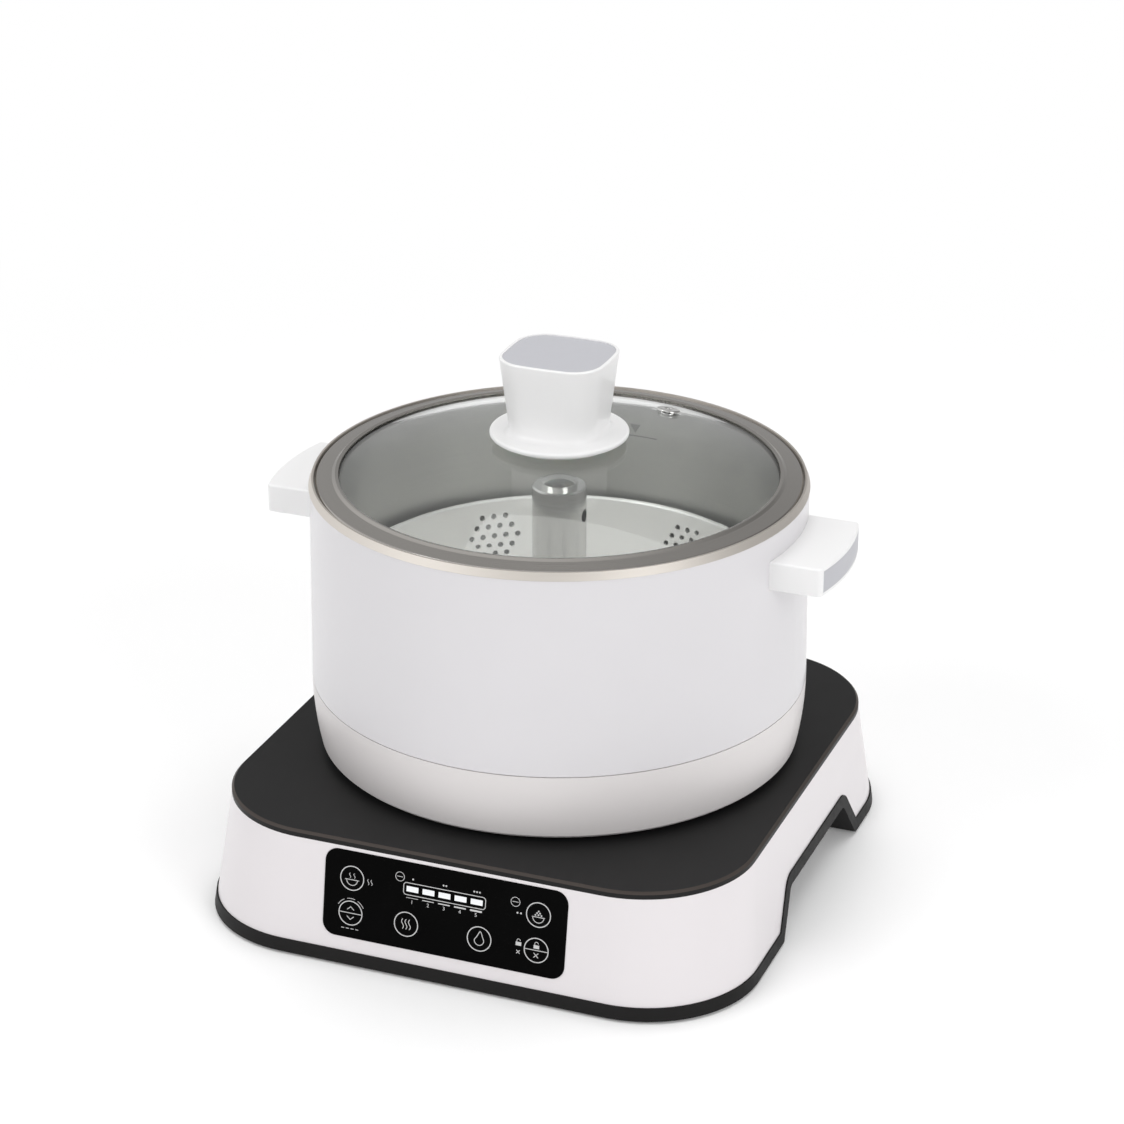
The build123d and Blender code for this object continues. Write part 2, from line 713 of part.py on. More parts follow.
COIL_PITCH = (COIL_OUT - COIL_IN) / COIL_TURNS
with BuildPart() as induction_coil:
    with BuildSketch(pot_plane(COIL_Z)):
        Circle(COIL_OUT)
        Circle(COIL_IN, mode=Mode.SUBTRACT)
    extrude(amount=COIL_H)
    with BuildSketch(pot_plane(COIL_Z + COIL_H)):
        for turn in range(1, COIL_TURNS):
            Circle(COIL_IN + turn * COIL_PITCH + COIL_GROOVE / 2)
            Circle(COIL_IN + turn * COIL_PITCH - COIL_GROOVE / 2, mode=Mode.SUBTRACT)
    extrude(amount=-COIL_H / 2, mode=Mode.SUBTRACT)
save(induction_coil, "induction_coil")

with BuildPart() as ferrite_bars:
    with BuildSketch(pot_plane(FERRITE_Z)):
        with PolarLocations((COIL_IN + COIL_OUT) / 2, FERRITES):
            Rectangle(FERRITE_L, FERRITE_W)
    extrude(amount=FERRITE_T)
save(ferrite_bars, "ferrite_bars")

with BuildPart() as plate_sensor:
    with BuildSketch(pot_plane(COIL_Z)):
        with Locations((0, -SENSOR_AT)):
            Circle(SENSOR_R)
    extrude(amount=HOUSING_TOP - COIL_Z)
save(plate_sensor, "plate_sensor")

# Power board in the back foot, with its heat sink
with BuildPart() as power_board:
    with BuildSketch(Plane.XY.offset(POWER_Z)):
        with Locations((POWER_X, POWER_Y)):
            Rectangle(POWER_W, POWER_D)
    extrude(amount=BOARD_T)
    with BuildSketch(Plane.XY.offset(POWER_TOP)):
        with Locations((POWER_X - POWER_W / 2 + 2 * CAPACITOR_R, POWER_Y)):
            with GridLocations(0, 2.5 * CAPACITOR_R, 1, 2):
                Circle(CAPACITOR_R)
    extrude(amount=CAPACITOR_H)
    with BuildSketch(Plane.XY.offset(POWER_TOP)):
        with Locations((POWER_X - POWER_W / 8, POWER_Y)):
            Circle(CHOKE_R)
            Circle(CHOKE_R / 2, mode=Mode.SUBTRACT)
    extrude(amount=CHOKE_H)
save(power_board, "power_board")

SINK_PITCH = (SINK_W - SINK_FIN_T) / (SINK_FINS - 1)
with BuildPart() as heat_sink:
    with BuildSketch(Plane.XY.offset(POWER_TOP)):
        with Locations((POWER_X + POWER_W / 4, POWER_Y)):
            Rectangle(SINK_W, SINK_D)
    extrude(amount=SINK_BASE)
    with BuildSketch(Plane.XY.offset(POWER_TOP + SINK_BASE)):
        with Locations((POWER_X + POWER_W / 4, POWER_Y)):
            with GridLocations(SINK_PITCH, 0, SINK_FINS, 1):
                Rectangle(SINK_FIN_T, SINK_D)
    extrude(amount=SINK_H - SINK_BASE)
save(heat_sink, "heat_sink")

# Cooling fan over the grille in the arch roof
fan_floor = Plane((FAN_X, POT_Y, ROOF_FLOOR_Z))
FAN_ROTOR_Z = FAN_STRUT_T + SEAT_GAP
with BuildPart() as fan_frame:
    with BuildSketch(fan_floor):
        RectangleRounded(FAN_W, FAN_W, FAN_CORNER)
        Circle(FAN_DUCT_R, mode=Mode.SUBTRACT)
        with GridLocations(FAN_W - 2 * POST_R, FAN_W - 2 * POST_R, 2, 2):
            Circle(SCREW_R + FIT, mode=Mode.SUBTRACT)
    extrude(amount=FAN_T)
    with BuildSketch(fan_floor):
        Circle(FAN_HUB_R)
        with PolarLocations((FAN_HUB_R + FAN_DUCT_R) / 2, 3):
            Rectangle(FAN_DUCT_R - FAN_HUB_R + 2 * CUT, FAN_STRUT_W)
    extrude(amount=FAN_STRUT_T)
    with BuildSketch(fan_floor.offset(FAN_STRUT_T)):
        Circle(FAN_PIN_R)
    extrude(amount=SEAT_GAP + FAN_HUB_H / 2)
save(fan_frame, "fan_frame")

BLADE_L = FAN_HUB_H / sin(radians(FAN_BLADE_PITCH))
with BuildPart() as fan_blade:
    with BuildSketch(Plane((FAN_HUB_R / 2, 0, FAN_HUB_H / 2), (0, 1, 0), (1, 0, 0))):
        Rectangle(BLADE_L, FAN_BLADE_T, rotation=FAN_BLADE_PITCH)
    extrude(amount=FAN_DUCT_R)
    with BuildSketch(Plane.XY):
        Circle(FAN_DUCT_R - FAN_TIP_GAP)
        Circle(FAN_HUB_R / 2 + CUT, mode=Mode.SUBTRACT)
    extrude(amount=FAN_HUB_H, mode=Mode.INTERSECT)

fan_rotor_place = Location((FAN_X, POT_Y, ROOF_FLOOR_Z + FAN_ROTOR_Z))
with BuildPart() as fan_rotor:
    with Locations(fan_rotor_place):
        Cylinder(FAN_HUB_R, FAN_HUB_H, align=UP)
        with PolarLocations(0, FAN_BLADES):
            add(fan_blade.part)
        Cylinder(FAN_PIN_R + RUN, FAN_HUB_H / 2 + RUN, align=UP, mode=Mode.SUBTRACT)
save(fan_rotor, "fan_rotor")

# Mains socket in the back wall
inlet_face = back_face(INLET_X, INLET_Z)
socket_mouth = inlet_face.offset(INLET_FLANGE_T)
with BuildPart() as power_inlet:
    with BuildSketch(inlet_face):
        Rectangle(INLET_FLANGE_W, INLET_FLANGE_H)
    extrude(amount=INLET_FLANGE_T)
    with BuildSketch(inlet_face):
        Rectangle(INLET_W, INLET_H)
    extrude(amount=-INLET_DEPTH)
    with BuildSketch(socket_mouth) as socket_shape:
        Rectangle(SOCKET_W, SOCKET_H)
        chamfer(socket_shape.vertices().group_by(Axis.Y)[-1], SOCKET_CHAMFER)
    extrude(amount=-SOCKET_DEPTH, mode=Mode.SUBTRACT)
save(power_inlet, "power_inlet")

with BuildPart() as inlet_pins:
    with BuildSketch(socket_mouth.offset(-SOCKET_DEPTH)):
        with Locations((-PIN_SPREAD, -PIN_RISE), (PIN_SPREAD, -PIN_RISE), (0, PIN_RISE)):
            Rectangle(PIN_W, PIN_H)
    extrude(amount=PIN_L)
save(inlet_pins, "inlet_pins")

# Basket drive: motor, pinion, gear and the coupling spindle through the plate
motor_floor = Plane((MOTOR_X, POT_Y, ROOF_FLOOR_Z))
with BuildPart() as lift_motor:
    with BuildSketch(motor_floor):
        Circle(MOTOR_R)
    extrude(amount=MOTOR_H)
    with BuildSketch(motor_floor.offset(MOTOR_WALL)):
        Circle(ROTOR_R + ROTOR_GAP)
    extrude(amount=MOTOR_H - MOTOR_WALL - MOTOR_BORE, mode=Mode.SUBTRACT)
    with BuildSketch(motor_floor.offset(MOTOR_H)):
        Circle(MOTOR_SHAFT_R + RUN)
    extrude(amount=-MOTOR_BORE - CUT, mode=Mode.SUBTRACT)
save(lift_motor, "lift_motor")

# Slotted rotor on its shaft, which carries the pinion
with BuildPart() as motor_rotor:
    with BuildSketch(motor_floor.offset(MOTOR_WALL + ROTOR_GAP)):
        Circle(ROTOR_R)
        with PolarLocations(ROTOR_R, ROTOR_SLOTS):
            Rectangle(2 * ROTOR_SLOT_DEPTH, ROTOR_SLOT_W, mode=Mode.SUBTRACT)
    extrude(amount=MOTOR_H - MOTOR_WALL - MOTOR_BORE - 2 * ROTOR_GAP)
    with BuildSketch(motor_floor.offset(MOTOR_WALL + ROTOR_GAP)):
        Circle(MOTOR_SHAFT_R)
    extrude(amount=GEAR_Z + GEAR_FACE - ROOF_FLOOR_Z - MOTOR_WALL - ROTOR_GAP)
save(motor_rotor, "motor_rotor")

with BuildPart() as motor_bracket:
    with BuildSketch(motor_floor):
        Circle(MOTOR_R + FIT + BRACKET_T)
        with PolarLocations(MOTOR_R + BRACKET_T, 2, start_angle=90):
            Rectangle(2 * BRACKET_EAR, 2 * BRACKET_EAR)
        Circle(MOTOR_R + FIT, mode=Mode.SUBTRACT)
    extrude(amount=BRACKET_T)
    with BuildSketch(motor_floor):
        Circle(MOTOR_R + FIT + BRACKET_T)
        Circle(MOTOR_R + FIT, mode=Mode.SUBTRACT)
    extrude(amount=BRACKET_H)
save(motor_bracket, "motor_bracket")

with BuildPart() as motor_pinion:
    with BuildSketch(Plane((MOTOR_X, POT_Y, GEAR_Z))):
        Circle(tip_radius(PINION_TEETH))
        with PolarLocations(0, PINION_TEETH, start_angle=180 / PINION_TEETH):
            add(tooth_gap(PINION_TEETH), mode=Mode.SUBTRACT)
        Circle(MOTOR_SHAFT_R, mode=Mode.SUBTRACT)
    extrude(amount=GEAR_FACE)
save(motor_pinion, "motor_pinion")

with BuildPart() as drive_gear:
    with BuildSketch(pot_plane(GEAR_Z)):
        Circle(tip_radius(GEAR_TEETH))
        with PolarLocations(0, GEAR_TEETH, start_angle=180):
            add(tooth_gap(GEAR_TEETH), mode=Mode.SUBTRACT)
        Circle(SHAFT_R, mode=Mode.SUBTRACT)
    extrude(amount=GEAR_FACE)
save(drive_gear, "drive_gear")

with BuildPart() as drive_dog:
    with BuildSketch(pot_plane(PIVOT_TOP - PIVOT_DEPTH + SEAT_GAP)):
        Circle(SHAFT_R)
    extrude(amount=SLINGER_Z - PIVOT_TOP + PIVOT_DEPTH - SEAT_GAP)
    with BuildSketch(pot_plane(SLINGER_Z)):
        Circle(DOG_R)
    extrude(amount=SLINGER_T)
    with BuildSketch(pot_plane(DOG_Z)):
        Circle(DOG_R)
        with BuildSketch(mode=Mode.INTERSECT):
            Rectangle(2 * DOG_R, DOG_KEY)
            Rectangle(DOG_KEY, 2 * DOG_R)
    extrude(amount=DOG_H)
save(drive_dog, "drive_dog")

with BuildPart() as splash_collar:
    with BuildSketch(pot_plane(BASE_H)):
        Circle(COLLAR_FLANGE_R)
    extrude(amount=COLLAR_FLANGE_T)
    with BuildSketch(pot_plane(BASE_H)):
        Circle(COLLAR_R)
    extrude(amount=-PLATE_T - COLLAR_DEPTH)
    with BuildSketch(pot_plane(COLLAR_TOP)):
        Circle(BUSH_R)
    extrude(amount=-COLLAR_FLANGE_T - PLATE_T - COLLAR_DEPTH, mode=Mode.SUBTRACT)
save(splash_collar, "splash_collar")

with BuildPart() as drive_bush:
    with BuildSketch(pot_plane(COLLAR_TOP)):
        Circle(BUSH_R)
        Circle(SHAFT_R + RUN, mode=Mode.SUBTRACT)
    extrude(amount=-COLLAR_FLANGE_T - PLATE_T - COLLAR_DEPTH)
save(drive_bush, "drive_bush")

# White cladding, with an inner lip that carries the pot's rim
with BuildPart() as pot_shell:
    with BuildSketch(POT_SECTION):
        with BuildLine():
            Polyline(
                (SEAM_R, SEAM_Z),
                (POT_R, SHELL_TOP),
                (POT_R - SHELL_T, SHELL_TOP),
                (POT_R - SHELL_T, SHELL_LIP_TOP),
                (SHELL_LIP_R, SHELL_LIP_TOP),
                (SHELL_LIP_R, SHELL_LIP_TOP - SHELL_T),
                (POT_R - SHELL_T, SHELL_LIP_TOP - SHELL_T),
                (SEAM_R - SHELL_T, SEAM_Z),
                close=True,
            )
        make_face()
    revolve(axis=POT_AXIS)
    with Locations((0, POT_Y, HANDLE_Z + HANDLE_T / 2)):
        with GridLocations(0, 2 * HANDLE_SCREW_SPREAD, 1, 2):
            Cylinder(SCREW_R + FIT, 3 * POT_R, rotation=(0, 90, 0), mode=Mode.SUBTRACT)
save(pot_shell, "pot_shell")

# Off-white lower band, with a tongue inside the cladding and a lip under the pot
TONGUE_OUT = SEAM_R - SHELL_T - FIT
TONGUE_IN = TONGUE_OUT - TONGUE_T
SKIRT_MIDDLE = (SKIRT_Z + SEAM_Z) / 2
with BuildPart() as pot_skirt:
    with BuildSketch(POT_SECTION):
        with BuildLine():
            ThreePointArc(
                (SKIRT_R, SKIRT_Z + SKIRT_ROUND), (BELLY_R, SKIRT_MIDDLE), (SEAM_R, SEAM_Z - SEAM_GROOVE)
            )
            Polyline(
                (SEAM_R, SEAM_Z - SEAM_GROOVE),
                (TONGUE_OUT, SEAM_Z - SEAM_GROOVE),
                (TONGUE_OUT, SEAM_Z + TONGUE_H),
                (TONGUE_IN, SEAM_Z + TONGUE_H),
                (TONGUE_IN, SEAM_Z - TONGUE_H),
                (BELLY_R - SHELL_T, SKIRT_MIDDLE),
                (SKIRT_R - SHELL_T, SKIRT_Z + 2 * SHELL_T),
                (SKIRT_R - 2 * SHELL_T, SKIRT_Z + SHELL_T),
                (SKIRT_LIP_R, SKIRT_Z + SHELL_T),
                (SKIRT_LIP_R, SKIRT_Z),
                (SKIRT_R - SKIRT_ROUND, SKIRT_Z),
                (SKIRT_R, SKIRT_Z + SKIRT_ROUND),
            )
        make_face()
    revolve(axis=POT_AXIS)
save(pot_skirt, "pot_skirt")

# Steel pot: floor, wall, lid seat and the rim that hooks over the cladding
BOWL_OUT = BOWL_R + BOWL_T
with BuildPart() as inner_pot:
    with BuildSketch(POT_SECTION):
        with BuildLine():
            FilletPolyline(
                (COLUMN_R + RUN, BOWL_Z),
                (BOWL_OUT, BOWL_Z),
                (BOWL_OUT, SEAT_Z - BOWL_T),
                (RIM_R - RIM_HEM, SEAT_Z - BOWL_T),
                (RIM_R - RIM_HEM, SHELL_TOP),
                (RIM_R, SHELL_TOP),
                (SEAT_R + 2 * RIM_CREST_W, CREST_Z),
                (SEAT_R + RIM_CREST_W / 2, CREST_Z),
                (SEAT_R, SEAT_Z),
                (BOWL_R, SEAT_Z),
                (BOWL_R, FLOOR_Z),
                (COLUMN_R + RUN, FLOOR_Z),
                radius=[0, BOWL_ROUND + BOWL_T, 0, 0, 0, 0, 0, 0, 0, BOWL_T, BOWL_ROUND, 0],
                close=True,
            )
        make_face()
    revolve(axis=POT_AXIS)
save(inner_pot, "inner_pot")

with BuildPart() as heat_disc:
    with BuildSketch(pot_plane(POT_Z)):
        Circle(DISC_R)
        Circle(DISC_HOLE, mode=Mode.SUBTRACT)
    extrude(amount=DISC_T)
save(heat_disc, "heat_disc")

with BuildPart() as rim_gasket:
    with BuildSketch(pot_plane(SHELL_LIP_TOP)):
        Circle(GASKET_OUT)
        Circle(GASKET_IN, mode=Mode.SUBTRACT)
    extrude(amount=GASKET_T)
save(rim_gasket, "rim_gasket")

# Side handles: hollow underneath for the fingers, with a grey insert in the bowed end
with BuildPart() as shell_outside:
    with BuildSketch(POT_SECTION):
        with BuildLine():
            Polyline((0, SEAM_Z), (SEAM_R, SEAM_Z), (POT_R, SHELL_TOP), (0, SHELL_TOP), close=True)
        make_face()
    revolve(axis=POT_AXIS)


BOW_R = (HANDLE_HALF**2 + HANDLE_BOW**2) / (2 * HANDLE_BOW)
BOW_X = POT_R + HANDLE_REACH + HANDLE_BOW - BOW_R


def end_plan(side, inset, half, inner_x):
    """Plan of a handle from inner_x out to its bowed end, with the end drawn in by inset."""
    far = POT_R + HANDLE_REACH + HANDLE_BOW + 2 * CUT
    with BuildSketch() as plan:
        with Locations((side * BOW_X, 0)):
            Circle(BOW_R - inset)
        with Locations((side * (inner_x + far) / 2, 0)):
            Rectangle(far - inner_x, 2 * half, mode=Mode.INTERSECT)
    return plan.sketch


for side, name in ((-1, "left"), (1, "right")):
    insert_half = HANDLE_HALF - INSERT_BORDER - HANDLE_EDGE
    with BuildPart() as handle:
        with BuildSketch(pot_plane(HANDLE_Z)):
            add(end_plan(side, 0, HANDLE_HALF, BOWL_R))
        extrude(amount=HANDLE_T)
        add(shell_outside.part, mode=Mode.SUBTRACT)
        fillet(handle.edges().filter_by(Axis.Z).sort_by(Axis.X)[:: -side][:2], 2 * HANDLE_EDGE)
        fillet(handle.faces().sort_by(Axis.Z)[-1].edges().filter_by(Axis.X), HANDLE_EDGE)
        with BuildSketch(pot_plane(HANDLE_Z)):
            add(end_plan(side, HANDLE_WALL + INSERT_T, HANDLE_HALF - HANDLE_WALL, POT_R + HANDLE_ROOT))
        extrude(amount=HANDLE_T - HANDLE_TOP_T, mode=Mode.SUBTRACT)
        with BuildSketch(pot_plane(HANDLE_Z + INSERT_BORDER)):
            add(end_plan(side, -CUT, insert_half, BOWL_R))
            add(end_plan(side, INSERT_T, insert_half + CUT, BOWL_R), mode=Mode.SUBTRACT)
        extrude(amount=HANDLE_T - 2 * INSERT_BORDER, mode=Mode.SUBTRACT)
        with Locations((side * POT_R, POT_Y, HANDLE_Z + HANDLE_T / 2)):
            with GridLocations(0, 2 * HANDLE_SCREW_SPREAD, 1, 2):
                Cylinder(SCREW_R + RUN, 2 * HANDLE_SCREW_DEPTH, rotation=(0, 90, 0), mode=Mode.SUBTRACT)
    save(handle, f"{name}_handle")

    with BuildPart() as insert:
        with BuildSketch(pot_plane(HANDLE_Z + INSERT_BORDER + RUN)):
            add(end_plan(side, 0, insert_half - RUN, BOWL_R))
            add(end_plan(side, INSERT_T, insert_half + CUT, BOWL_R), mode=Mode.SUBTRACT)
        extrude(amount=HANDLE_T - 2 * INSERT_BORDER - 2 * RUN)
    save(insert, f"{name}_handle_insert")

# Screws from inside the cladding into the handles
SCREW_FACE = sqrt((POT_R - SHELL_T) ** 2 - (HANDLE_SCREW_SPREAD + SCREW_HEAD_R) ** 2)
with BuildPart() as handle_screws:
    with Locations((0, POT_Y, HANDLE_Z + HANDLE_T / 2)):
        for side in (-1, 1):
            with GridLocations(0, 2 * HANDLE_SCREW_SPREAD, 1, 2):
                with Locations(Location((side * SCREW_FACE, 0, 0), (0, side * 90, 0))):
                    Cylinder(SCREW_HEAD_R, SCREW_HEAD_H, align=DOWN)
                    Cylinder(SCREW_R, POT_R + HANDLE_SCREW_DEPTH - SCREW_FACE - CUT, align=UP)
save(handle_screws, "handle_screws")

# Centre column with slots for the nut's arms, its cap and the sealed shaft bearing
SLOT_LOW = ARM_Z - CUT
SLOT_HIGH = ARM_TOP + LIFT + CUT
with BuildPart() as lift_column:
    with BuildSketch(pot_plane(BOWL_Z)):
        Circle(COLUMN_R)
    extrude(amount=COLUMN_TOP - BOWL_Z)
    with BuildSketch(pot_plane(FLOOR_Z)):
        Circle(COLUMN_FOOT_R)
    extrude(amount=COLUMN_FOOT_T)
    with BuildSketch(pot_plane(BOWL_Z)):
        Circle(COLUMN_BORE)
    extrude(amount=COLUMN_TOP - BOWL_Z, mode=Mode.SUBTRACT)
    with BuildSketch(POT_SECTION):
        with Locations((0, (SLOT_LOW + SLOT_HIGH) / 2)):
            Rectangle(ARM_W + 2 * SLIDE, SLOT_HIGH - SLOT_LOW)
    extrude(amount=COLUMN_FOOT_R, both=True, mode=Mode.SUBTRACT)
    with Locations((0, POT_Y, COLUMN_TOP - COLUMN_VENT_DOWN)):
        Cylinder(COLUMN_VENT_R, 4 * COLUMN_R, rotation=(0, 90, 0), mode=Mode.SUBTRACT)
save(lift_column, "lift_column")

CAP_TOP = COLUMN_TOP + CAP_RIM_H + CAP_STEP_H
CROWN_R = (CAP_STEP_R**2 + CAP_CROWN**2) / (2 * CAP_CROWN)
CAP_SHOULDER = CAP_TOP + CAP_CROWN - CROWN_R + sqrt(CROWN_R**2 - (CAP_STEP_R / 2) ** 2)
with BuildPart() as column_cap:
    with BuildSketch(POT_SECTION):
        with BuildLine():
            Polyline(
                (0, CAP_TOP + CAP_CROWN),
                (0, COLUMN_TOP),
                (SHAFT_R + RUN, COLUMN_TOP),
                (SHAFT_R + RUN, COLUMN_TOP - CAP_PLUG_H),
                (COLUMN_BORE - RUN, COLUMN_TOP - CAP_PLUG_H),
                (COLUMN_BORE - RUN, COLUMN_TOP),
                (COLUMN_R, COLUMN_TOP),
                (COLUMN_R, COLUMN_TOP + CAP_RIM_H / 2),
                (COLUMN_R - CAP_RIM_H / 2, COLUMN_TOP + CAP_RIM_H),
                (CAP_STEP_R, COLUMN_TOP + CAP_RIM_H),
                (CAP_STEP_R, CAP_TOP),
            )
            ThreePointArc((CAP_STEP_R, CAP_TOP), (CAP_STEP_R / 2, CAP_SHOULDER), (0, CAP_TOP + CAP_CROWN))
        make_face()
    revolve(axis=POT_AXIS)
save(column_cap, "column_cap")

with BuildPart() as shaft_housing:
    with BuildSketch(pot_plane(BEARING_Z)):
        Circle(COLUMN_BORE - RUN)
        Circle(SHAFT_R + RUN, mode=Mode.SUBTRACT)
    extrude(amount=HOUSING_H)
save(shaft_housing, "shaft_housing")

with BuildPart() as shaft_seal:
    with BuildSketch(pot_plane(SEAL_Z)):
        Circle(SEAL_R)
        Circle(SHAFT_R + RUN, mode=Mode.SUBTRACT)
    extrude(amount=SEAL_H)
save(shaft_seal, "shaft_seal")

# Screw with the pot's half of the coupling, and the nut that lifts the basket
SCREW_FOOT = DOG_TOP + SEAT_GAP
with BuildPart() as lift_screw:
    with BuildSketch(pot_plane(SCREW_FOOT)):
        Circle(SHAFT_R)
    extrude(amount=COLUMN_TOP - SEAT_GAP - SCREW_FOOT)
save(lift_screw, "lift_screw")

with BuildPart() as driven_dog:
    with BuildSketch(pot_plane(CUP_Z)):
        Circle(CUP_R)
    extrude(amount=CUP_TOP - CUP_Z)
    with BuildSketch(pot_plane(CUP_Z)):
        Circle(DOG_R + DOG_PLAY)
        with BuildSketch(mode=Mode.INTERSECT):
            Rectangle(2 * CUP_R, DOG_KEY + 2 * DOG_PLAY)
            Rectangle(DOG_KEY + 2 * DOG_PLAY, 2 * CUP_R)
    extrude(amount=DOG_TOP + SEAT_GAP - CUP_Z, mode=Mode.SUBTRACT)
    with BuildSketch(pot_plane(CUP_TOP)):
        Circle(SHAFT_R)
    extrude(amount=-CUP_ROOF, mode=Mode.SUBTRACT)
save(driven_dog, "driven_dog")

with BuildPart() as lift_nut:
    with BuildSketch(pot_plane(ARM_Z)):
        Circle(ARM_REACH)
        with BuildSketch(mode=Mode.INTERSECT):
            Rectangle(ARM_W, 2 * ARM_REACH)
    extrude(amount=ARM_H)
    with BuildSketch(pot_plane(NUT_Z)):
        Circle(COLUMN_BORE - SLIDE)
    extrude(amount=NUT_H)
    with BuildSketch(pot_plane(NUT_Z)):
        Circle(SHAFT_R + RUN)
    extrude(amount=NUT_H, mode=Mode.SUBTRACT)
save(lift_nut, "lift_nut")

# Perforated basket with a rolled rim, and the hub that stands on the nut's arms
WALL_TOP_R = BASKET_R - 2 * ROLL_R


def cluster_places():
    """Holes of the wall clusters, in hexagons round each cluster's middle."""
    middle_z = BASKET_TOP - CLUSTER_DOWN
    places = []
    for cluster in range(CLUSTERS):
        heading = CLUSTER_ANGLE + 360 * cluster / CLUSTERS
        for row in range(-CLUSTER_RINGS, CLUSTER_RINGS + 1):
            count = 2 * CLUSTER_RINGS + 1 - abs(row)
            z = middle_z + row * HOLE_PITCH * sin(pi / 3)
            for step in range(count):
                sideways = (step - (count - 1) / 2) * HOLE_PITCH
                angle = radians(heading) + sideways / BASKET_FOOT_R
                outward = (cos(angle), sin(angle), 0)
                foot = (BASKET_FOOT_R * outward[0], POT_Y + BASKET_FOOT_R * outward[1], z)
                places.append(Plane(foot, z_dir=outward).location)
    return places


with BuildPart() as basket:
    with BuildSketch(POT_SECTION):
        with BuildLine():
            FilletPolyline(
                (HUB_WIDE, BASKET_Z),
                (BASKET_FOOT_R + BASKET_T, BASKET_Z),
                (WALL_TOP_R + BASKET_T, BASKET_TOP - ROLL_R),
                (WALL_TOP_R, BASKET_TOP - ROLL_R),
                (BASKET_FOOT_R, BASKET_Z + BASKET_T),
                (HUB_WIDE, BASKET_Z + BASKET_T),
                radius=[0, BASKET_ROUND + BASKET_T, 0, 0, BASKET_ROUND, 0],
                close=True,
            )
        make_face()
        with Locations((BASKET_R - ROLL_R, BASKET_TOP - ROLL_R)):
            Circle(ROLL_R)
    revolve(axis=POT_AXIS)
    with Locations(*cluster_places()):
        Cylinder(HOLE_R, 4 * BASKET_ROUND, mode=Mode.SUBTRACT)
    with BuildSketch(pot_plane(BASKET_Z)):
        for ring in range(FLOOR_RINGS):
            with PolarLocations(FLOOR_RING_R + ring * FLOOR_RING_STEP, FLOOR_RING_HOLES * (ring + 1)):
                Circle(HOLE_R)
    extrude(amount=BASKET_T, mode=Mode.SUBTRACT)
save(basket, "basket")

HUB_ROOF = ARM_TOP + SEAT_GAP
HUB_TOP = HUB_ROOF + HUB_SHOULDER + HUB_SLEEVE
with BuildPart() as basket_hub:
    with BuildSketch(POT_SECTION):
        with BuildLine():
            Polyline(
                (HUB_WIDE, BASKET_Z + BASKET_T),
                (HUB_WIDE + HUB_WALL, BASKET_Z + BASKET_T),
                (HUB_WIDE + HUB_WALL, HUB_ROOF + HUB_SHOULDER / 2),
                (HUB_WIDE, HUB_ROOF + HUB_SHOULDER),
                (HUB_BORE + HUB_WALL, HUB_ROOF + HUB_SHOULDER),
                (HUB_BORE + HUB_WALL, HUB_TOP),
                (HUB_BORE, HUB_TOP),
                (HUB_BORE, HUB_ROOF),
                (HUB_WIDE, HUB_ROOF),
                close=True,
            )
        make_face()
    revolve(axis=POT_AXIS)
save(basket_hub, "basket_hub")

with BuildPart() as hub_ring:
    with BuildSketch(pot_plane(BASKET_Z + BASKET_T)):
        Circle(HUB_FOOT_R)
        Circle(HUB_WIDE + HUB_WALL + RUN, mode=Mode.SUBTRACT)
    extrude(amount=HUB_FOOT_T)
    ring_rims = hub_ring.edges().filter_by(GeomType.CIRCLE).sort_by(SortBy.RADIUS)[-2:]
    fillet(ring_rims.sort_by(Axis.Z)[-1], HUB_FOOT_T / 2)
save(hub_ring, "hub_ring")

# Lid: tinted glass dome in a steel ring
vent_slope = VENT_AT / DOME_R
vent_heading = radians(VENT_ANGLE)
vent_up = (vent_slope * cos(vent_heading), vent_slope * sin(vent_heading), sqrt(1 - vent_slope**2))
vent_spot = (VENT_AT * cos(vent_heading), POT_Y + VENT_AT * sin(vent_heading), dome_height(VENT_AT))
vent_plane = Plane(vent_spot, z_dir=vent_up)
GLASS_MIDDLE = GLASS_R / 2
with BuildPart() as lid_glass:
    with BuildSketch(POT_SECTION):
        with BuildLine():
            ThreePointArc(
                (STEM_HOLE_R, dome_height(STEM_HOLE_R)),
                (GLASS_MIDDLE, dome_height(GLASS_MIDDLE)),
                (GLASS_R, dome_height(GLASS_R)),
            )
            Line((GLASS_R, dome_height(GLASS_R)), (GLASS_R, dome_height(GLASS_R, GLASS_T)))
            ThreePointArc(
                (GLASS_R, dome_height(GLASS_R, GLASS_T)),
                (GLASS_MIDDLE, dome_height(GLASS_MIDDLE, GLASS_T)),
                (STEM_HOLE_R, dome_height(STEM_HOLE_R, GLASS_T)),
            )
            Line((STEM_HOLE_R, dome_height(STEM_HOLE_R, GLASS_T)), (STEM_HOLE_R, dome_height(STEM_HOLE_R)))
        make_face()
    revolve(axis=POT_AXIS)
    with BuildSketch(vent_plane):
        Circle(VENT_STEM_R + FIT)
    extrude(amount=2 * GLASS_T, both=True, mode=Mode.SUBTRACT)
save(lid_glass, "lid_glass")

